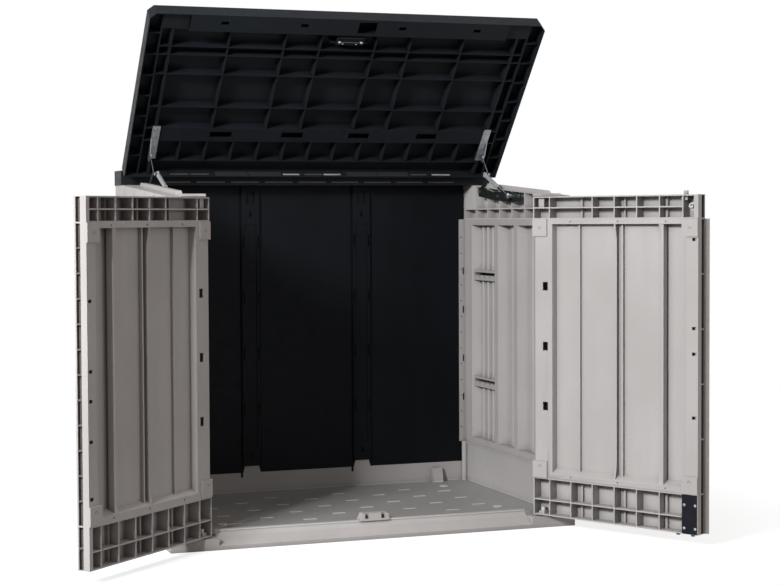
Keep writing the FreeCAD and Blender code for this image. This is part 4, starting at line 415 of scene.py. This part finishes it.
def soften(piece, width):
    """Round the piece's sharp edges a little."""
    weld = piece.modifiers.new("weld", "WELD")
    weld.merge_threshold = WELD_GAP
    flat = piece.modifiers.new("flat", "DECIMATE")
    flat.decimate_type = "DISSOLVE"
    flat.angle_limit = math.radians(FLAT_ANGLE)
    bevel = piece.modifiers.new("edges", "BEVEL")
    bevel.width = width
    bevel.segments = EDGE_SEGMENTS
    bevel.limit_method = "ANGLE"
    bevel.angle_limit = math.radians(EDGE_ANGLE)
    bevel.use_clamp_overlap = True
    bevel.harden_normals = True


def dress_nodes():
    """Give every CAD node its finish, and the mouldings softer edges."""
    for node, piece in NODES.items():
        slot = SLOT_OF[node]
        piece.data.materials.clear()
        piece.data.materials.append(FINISH[OWN_FINISH.get(node, slot)])
        if slot in EDGE_ROUND and node not in CRISP_NODES:
            soften(piece, EDGE_ROUND[slot])


def new_piece(name, points, faces, body, slot, finish, rounding=0.0):
    """Make a mesh piece that rides on a body; rounding is the width of its bevelled edges."""
    data = bpy.data.meshes.new(name)
    data.from_pydata([tuple(p) for p in points], [], faces)
    shape = bmesh.new()
    shape.from_mesh(data)
    bmesh.ops.recalc_face_normals(shape, faces=shape.faces)
    shape.to_mesh(data)
    shape.free()
    made = bpy.data.objects.new(name, data)
    bpy.context.collection.objects.link(made)
    data.materials.append(FINISH[finish])
    if rounding:
        bevel = made.modifiers.new("edges", "BEVEL")
        bevel.width = rounding
        bevel.segments = EDGE_SEGMENTS
    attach(made, body)


def merged(shapes):
    """Points and faces of several shapes as one."""
    points, faces = [], []
    for more, sides in shapes:
        faces += [tuple(len(points) + k for k in face) for face in sides]
        points += more
    return points, faces


def slabs(blocks):
    """Points and faces of several six-sided blocks, each given by its eight corners."""
    sides = ((0, 1, 3, 2), (4, 6, 7, 5), (0, 4, 5, 1), (2, 3, 7, 6), (0, 2, 6, 4), (1, 5, 7, 3))
    return merged((corners, sides) for corners in blocks)


def tube_along(points, across, radii, sides=8):
    """Points and faces of a round bar along a line of places, each with a side direction and a radius."""
    made, faces = [], []
    last = len(points) - 1
    for i, (place, radius) in enumerate(zip(points, radii)):
        ahead = (points[min(i + 1, last)] - points[max(i - 1, 0)]).normalized()
        first = across[i].normalized()
        second = ahead.cross(first)
        for k in range(sides):
            a = 2 * math.pi * k / sides
            made.append(place + first * radius * math.cos(a) + second * radius * math.sin(a))
    for i in range(last):
        for k in range(sides):
            n, m = i * sides + k, i * sides + (k + 1) % sides
            faces.append((n, m, m + sides, n + sides))
    faces.append(tuple(range(sides)))
    faces.append(tuple(range(len(made) - sides, len(made))))
    return made, faces


def on_door(side, u, y, z):
    """A place on an open door: u from its hinge edge, y and z as on the closed door."""
    turn = math.radians(DOOR_OPEN[side])
    x, y = DOOR_EDGE - u - DOOR_PIVOT[0], y - DOOR_PIVOT[1]
    placed = Vector((DOOR_PIVOT[0] + x * math.cos(turn) - y * math.sin(turn),
                     DOOR_PIVOT[1] + x * math.sin(turn) + y * math.cos(turn), z))
    if side == "left":
        placed.x = -placed.x
    return placed


def door_slab(side, u, y, z):
    """Corners of a block on a door; u, y and z are pairs."""
    return [on_door(side, a, b, c) for a in u for b in y for c in z]


def on_lid(x, along, down):
    """A place on the open lid: along from the hinge line, down from its flat."""
    return LID_HINGE + Vector((x, 0, 0)) + LID_ALONG * along + LID_UNDER * down


def lid_slab(x, along, down):
    """Corners of a block on the lid; x, along and down are pairs."""
    return [on_lid(a, b, c) for a in x for b in along for c in down]


def hinge_line():
    """Leaves, clips and bars along the lid's hinge; the clips and bars are pale or grey painted glints on
    the knuckles.
    """
    for name, spans, rise, down, slot, finish in (
            ("hinge_leaves", LEAVES, LEAF_RISE, LEAF_DOWN, "dark_steel", "leaf_grey"),
            ("hinge_clips_painted_glint", GLINT_CLIPS, CLIP_RISE, CLIP_DOWN, "zinc", "pale_steel"),
            ("hinge_clips_dim_painted_glint", DIM_GLINT_CLIPS, CLIP_RISE, CLIP_DOWN, "dark_steel", "hinge_grey")):
        blocks = [lid_slab(x, (REAR_WALL, REAR_WALL + rise), down) for x in spans]
        new_piece(name, *slabs(blocks), "lid", slot, finish, HINGE_ROUND)
    pitch = 2 * BAR_SPAN / (BAR_COUNT + 1)
    blocks = []
    for i in range(BAR_COUNT):
        x = -BAR_SPAN + pitch * (i + 1)
        ends = (x - BAR_SHARE * pitch, x + BAR_SHARE * pitch)
        blocks.append([Vector((a, BEAM_FRONT + b, c)) for a in ends for b in BAR_DEEP for c in BAR_Z])
    # Painted glint: bars in a grey lighter than the black beam
    new_piece("hinge_bars_dim_painted_glint", *slabs(blocks), "cabinet", "dark_steel", "hinge_grey", HINGE_ROUND)


def channel_shade_linings(side):
    """Linings of painted shade in the channel cells down a door's free edge, with caps of painted shade on
    the left door's ribs.
    """
    blocks = []
    for low, high in ((DOOR_LOW, LOW_SEAM), (LOW_SEAM, TOP_SEAM), (TOP_SEAM, DOOR_HIGH)):
        count = max(1, round((high - low) / CHANNEL_PITCH[side]))
        pitch = (high - low) / count
        for i in range(count):
            z = (low + pitch * i + CHANNEL_RIB / 2 + SHADE_LINER, low + pitch * (i + 1) - CHANNEL_RIB / 2 - SHADE_LINER)
            u = (DOOR_SPAN - CHANNEL_DEPTH, DOOR_SPAN - CHANNEL_DEPTH + SHADE_LINER)
            y = (DOOR_OUTER + CHANNEL_OUTER, DOOR_INNER - CHANNEL_INNER)
            blocks.append(door_slab(side, u, y, z))
            deep = (u[1], DOOR_SPAN - 2 * SHADE_LINER)
            blocks.append(door_slab(side, deep, (y[0], y[0] + SHADE_LINER), z))
            blocks.append(door_slab(side, deep, (y[1] - SHADE_LINER, y[1]), z))
            if side == "left" and i:
                middle = low + pitch * i
                z = (middle - CHANNEL_RIB / 2, middle + CHANNEL_RIB / 2)
                blocks.append(door_slab(side, (DOOR_SPAN, DOOR_SPAN + RIB_SHADE_CAP), y, z))
    new_piece("edge_channel_shade_" + side, *slabs(blocks), "door_" + side, "resin", CHANNEL_SHADE_FINISH[side])


def ejector_marks(side):
    """Small open rings that the mould's ejector pins left on the corner tabs, drawn in the painted-shade
    colour.
    """
    face = DOOR_INNER + TAB_RISE
    turns = [math.radians(MARK_TURN * i / MARK_STEPS + MARK_START) for i in range(MARK_STEPS + 1)]
    rings = []
    for u, z in MARK_PLACES:
        middle = on_door(side, u, face, z)
        line = []
        for a in turns:
            line.append(on_door(side, u + MARK_RADIUS * math.cos(a), face, z + MARK_RADIUS * math.sin(a)))
        rings.append(tube_along(line, [p - middle for p in line], [MARK_TUBE] * len(line)))
    new_piece("ejector_marks_" + side, *merged(rings), "door_" + side, "resin", "deep_resin")


def lip_shade_lining():
    """A lining of painted shade on the inner face of the right door's meeting lip."""
    u = (DOOR_SPAN + SHADE_LINER, DOOR_SPAN + LIP_REACH - SHADE_LINER)
    y = (DOOR_OUTER - LIP_CLEAR, DOOR_OUTER - LIP_CLEAR + LIP_SHADE_LINER)
    block = door_slab("right", u, y, (DOOR_LOW + SHADE_LINER, TOP_SEAM - SHADE_LINER))
    new_piece("lip_shade_lining", *slabs([block]), "door_right", "resin", "lip_resin")


def latch_rod():
    """Dim rod between two bright knobs, which sit on the lid's latch flap."""
    low, high = (Vector(v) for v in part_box("lid_latch_bar"))
    middle = on_lid(0.0, LATCH_ROD_ALONG, LATCH_FLAP_DOWN + LATCH_KNOB_RADIUS)
    reach = (high.x - low.x - LATCH_KNOB_LENGTH) / 2
    ends = [middle + Vector((x, 0, 0)) for x in (-reach, reach)]
    rod = tube_along(ends, [LID_UNDER] * 2, [LATCH_ROD_RADIUS] * 2)
    new_piece("lid_latch_rod", *rod, "lid_latch", "zinc", "hinge_grey")
    steps = len(KNOB_PROFILE) - 1
    radii = [LATCH_KNOB_RADIUS * share for share in KNOB_PROFILE]
    knobs = []
    for x in (-reach, reach):
        line = [middle + Vector((x + LATCH_KNOB_LENGTH * (i / steps - 0.5), 0, 0)) for i in range(steps + 1)]
        knobs.append(tube_along(line, [LID_UNDER] * len(line), radii, KNOB_SIDES))
    new_piece("lid_latch_knobs", *merged(knobs), "lid_latch", "zinc", "pale_steel")


def camera():
    """The camera at the photograph's place, with the shift that its framing needs."""
    yaw, pitch, roll = (math.radians(a) for a in (CAMERA_YAW, CAMERA_PITCH, CAMERA_ROLL))
    ahead = Vector((math.sin(yaw) * math.cos(pitch), math.cos(yaw) * math.cos(pitch), math.sin(pitch)))
    level = Vector((math.cos(yaw), -math.sin(yaw), 0.0))
    upward = level.cross(ahead)
    right = level * math.cos(roll) + upward * math.sin(roll)
    up = upward * math.cos(roll) - level * math.sin(roll)
    data = bpy.data.cameras.new("camera")
    data.sensor_width = SENSOR
    data.lens = FOCAL_PIXELS * SENSOR / PHOTO_WIDTH
    data.shift_x = (PHOTO_WIDTH / 2 - AXIS_PIXEL[0]) / PHOTO_WIDTH
    data.shift_y = (AXIS_PIXEL[1] - PHOTO_HEIGHT / 2) / PHOTO_WIDTH
    made = bpy.data.objects.new("camera", data)
    turn = Matrix((right, up, -ahead)).transposed().to_4x4()
    made.matrix_world = Matrix.Translation(CAMERA_PLACE) @ turn
    bpy.context.collection.objects.link(made)
    bpy.context.scene.camera = made


def area_light(name, place, target, size, power, colour):
    """A rectangular lamp that faces its target."""
    data = bpy.data.lights.new(name, "AREA")
    data.shape = "RECTANGLE"
    data.size, data.size_y = size
    data.energy = power
    data.color = colour
    made = bpy.data.objects.new(name, data)
    made.location = place
    made.rotation_euler = (Vector(target) - Vector(place)).to_track_quat("-Z", "Y").to_euler()
    bpy.context.collection.objects.link(made)


def seen_rays(tree):
    """One for camera, glossy and transmitted rays, which see the white surroundings."""
    path = tree.nodes.new("ShaderNodeLightPath")
    total = path.outputs["Is Camera Ray"]
    for kind in ("Is Glossy Ray", "Is Transmission Ray"):
        either = tree.nodes.new("ShaderNodeMath")
        either.operation = "MAXIMUM"
        tree.links.new(total, either.inputs[0])
        tree.links.new(path.outputs[kind], either.inputs[1])
        total = either.outputs[0]
    return total


def floor():
    """A white studio floor that keeps the part's shadow and fades to plain white further out."""
    corners = [(x * FLOOR_REACH, y * FLOOR_REACH, 0) for x, y in ((-1, -1), (1, -1), (1, 1), (-1, 1))]
    data = bpy.data.meshes.new("floor")
    data.from_pydata(corners, [], [(0, 1, 2, 3)])
    made = bpy.data.objects.new("floor", data)
    bpy.context.collection.objects.link(made)
    s = Shader("floor_white")
    s.tree.nodes.remove(s.surface)
    plain = s.add("ShaderNodeBsdfDiffuse")
    plain.inputs["Color"].default_value = FLOOR_BOUNCE
    seen = s.add("ShaderNodeBsdfDiffuse")
    seen.inputs["Color"].default_value = FLOOR_SEEN
    glow = s.add("ShaderNodeEmission")
    glow.inputs["Strength"].default_value = FLOOR_GLOW
    both = s.add("ShaderNodeAddShader")
    s.join(seen.outputs[0], both.inputs[0])
    s.join(glow.outputs[0], both.inputs[1])
    white = s.add("ShaderNodeEmission")
    away = s.add("ShaderNodeVectorMath", operation="LENGTH")
    s.join(s.add("ShaderNodeNewGeometry").outputs["Position"], away.inputs[0])
    fade = s.add("ShaderNodeMixShader")
    s.join(s.ramp(away.outputs["Value"], 0.0, 1.0, *FLOOR_FADE), fade.inputs["Fac"])
    s.join(both.outputs[0], fade.inputs[1])
    s.join(white.outputs[0], fade.inputs[2])
    mix = s.add("ShaderNodeMixShader")
    s.join(seen_rays(s.tree), mix.inputs["Fac"])
    s.join(plain.outputs[0], mix.inputs[1])
    s.join(fade.outputs[0], mix.inputs[2])
    s.join(mix.outputs[0], s.tree.nodes["Material Output"].inputs["Surface"])
    data.materials.append(s.material)


def world():
    """Soft light, stronger from above; camera, mirror and glass rays see plain white."""
    made = bpy.data.worlds.new("studio")
    bpy.context.scene.world = made
    made.use_nodes = True
    tree = made.node_tree
    nodes, links = tree.nodes, tree.links
    back = nodes["Background"]
    back.inputs["Color"].default_value = WORLD_COLOUR
    way = nodes.new("ShaderNodeSeparateXYZ")
    links.new(nodes.new("ShaderNodeTexCoord").outputs["Generated"], way.inputs[0])
    rise = nodes.new("ShaderNodeMapRange")
    rise.inputs["From Max"].default_value = WORLD_RISE
    rise.inputs["To Min"].default_value = WORLD_LEVEL
    rise.inputs["To Max"].default_value = WORLD_TOP
    links.new(way.outputs["Z"], rise.inputs["Value"])
    links.new(rise.outputs["Result"], back.inputs["Strength"])
    white = nodes.new("ShaderNodeBackground")
    white.inputs["Strength"].default_value = 1.0
    white.inputs["Color"].default_value = (1, 1, 1, 1)
    mix = nodes.new("ShaderNodeMixShader")
    links.new(seen_rays(tree), mix.inputs["Fac"])
    links.new(back.outputs[0], mix.inputs[1])
    links.new(white.outputs[0], mix.inputs[2])
    links.new(mix.outputs[0], nodes["World Output"].inputs["Surface"])


dress_nodes()
hinge_line()
for door_side in ("right", "left"):
    channel_shade_linings(door_side)
    ejector_marks(door_side)
lip_shade_lining()
latch_rod()
camera()
floor()
world()
area_light("key", KEY_PLACE, KEY_TARGET, KEY_SIZE, KEY_POWER, KEY_COLOUR)
area_light("fill", FILL_PLACE, FILL_TARGET, FILL_SIZE, FILL_POWER, FILL_COLOUR)
bpy.context.scene.view_settings.view_transform = "Standard"
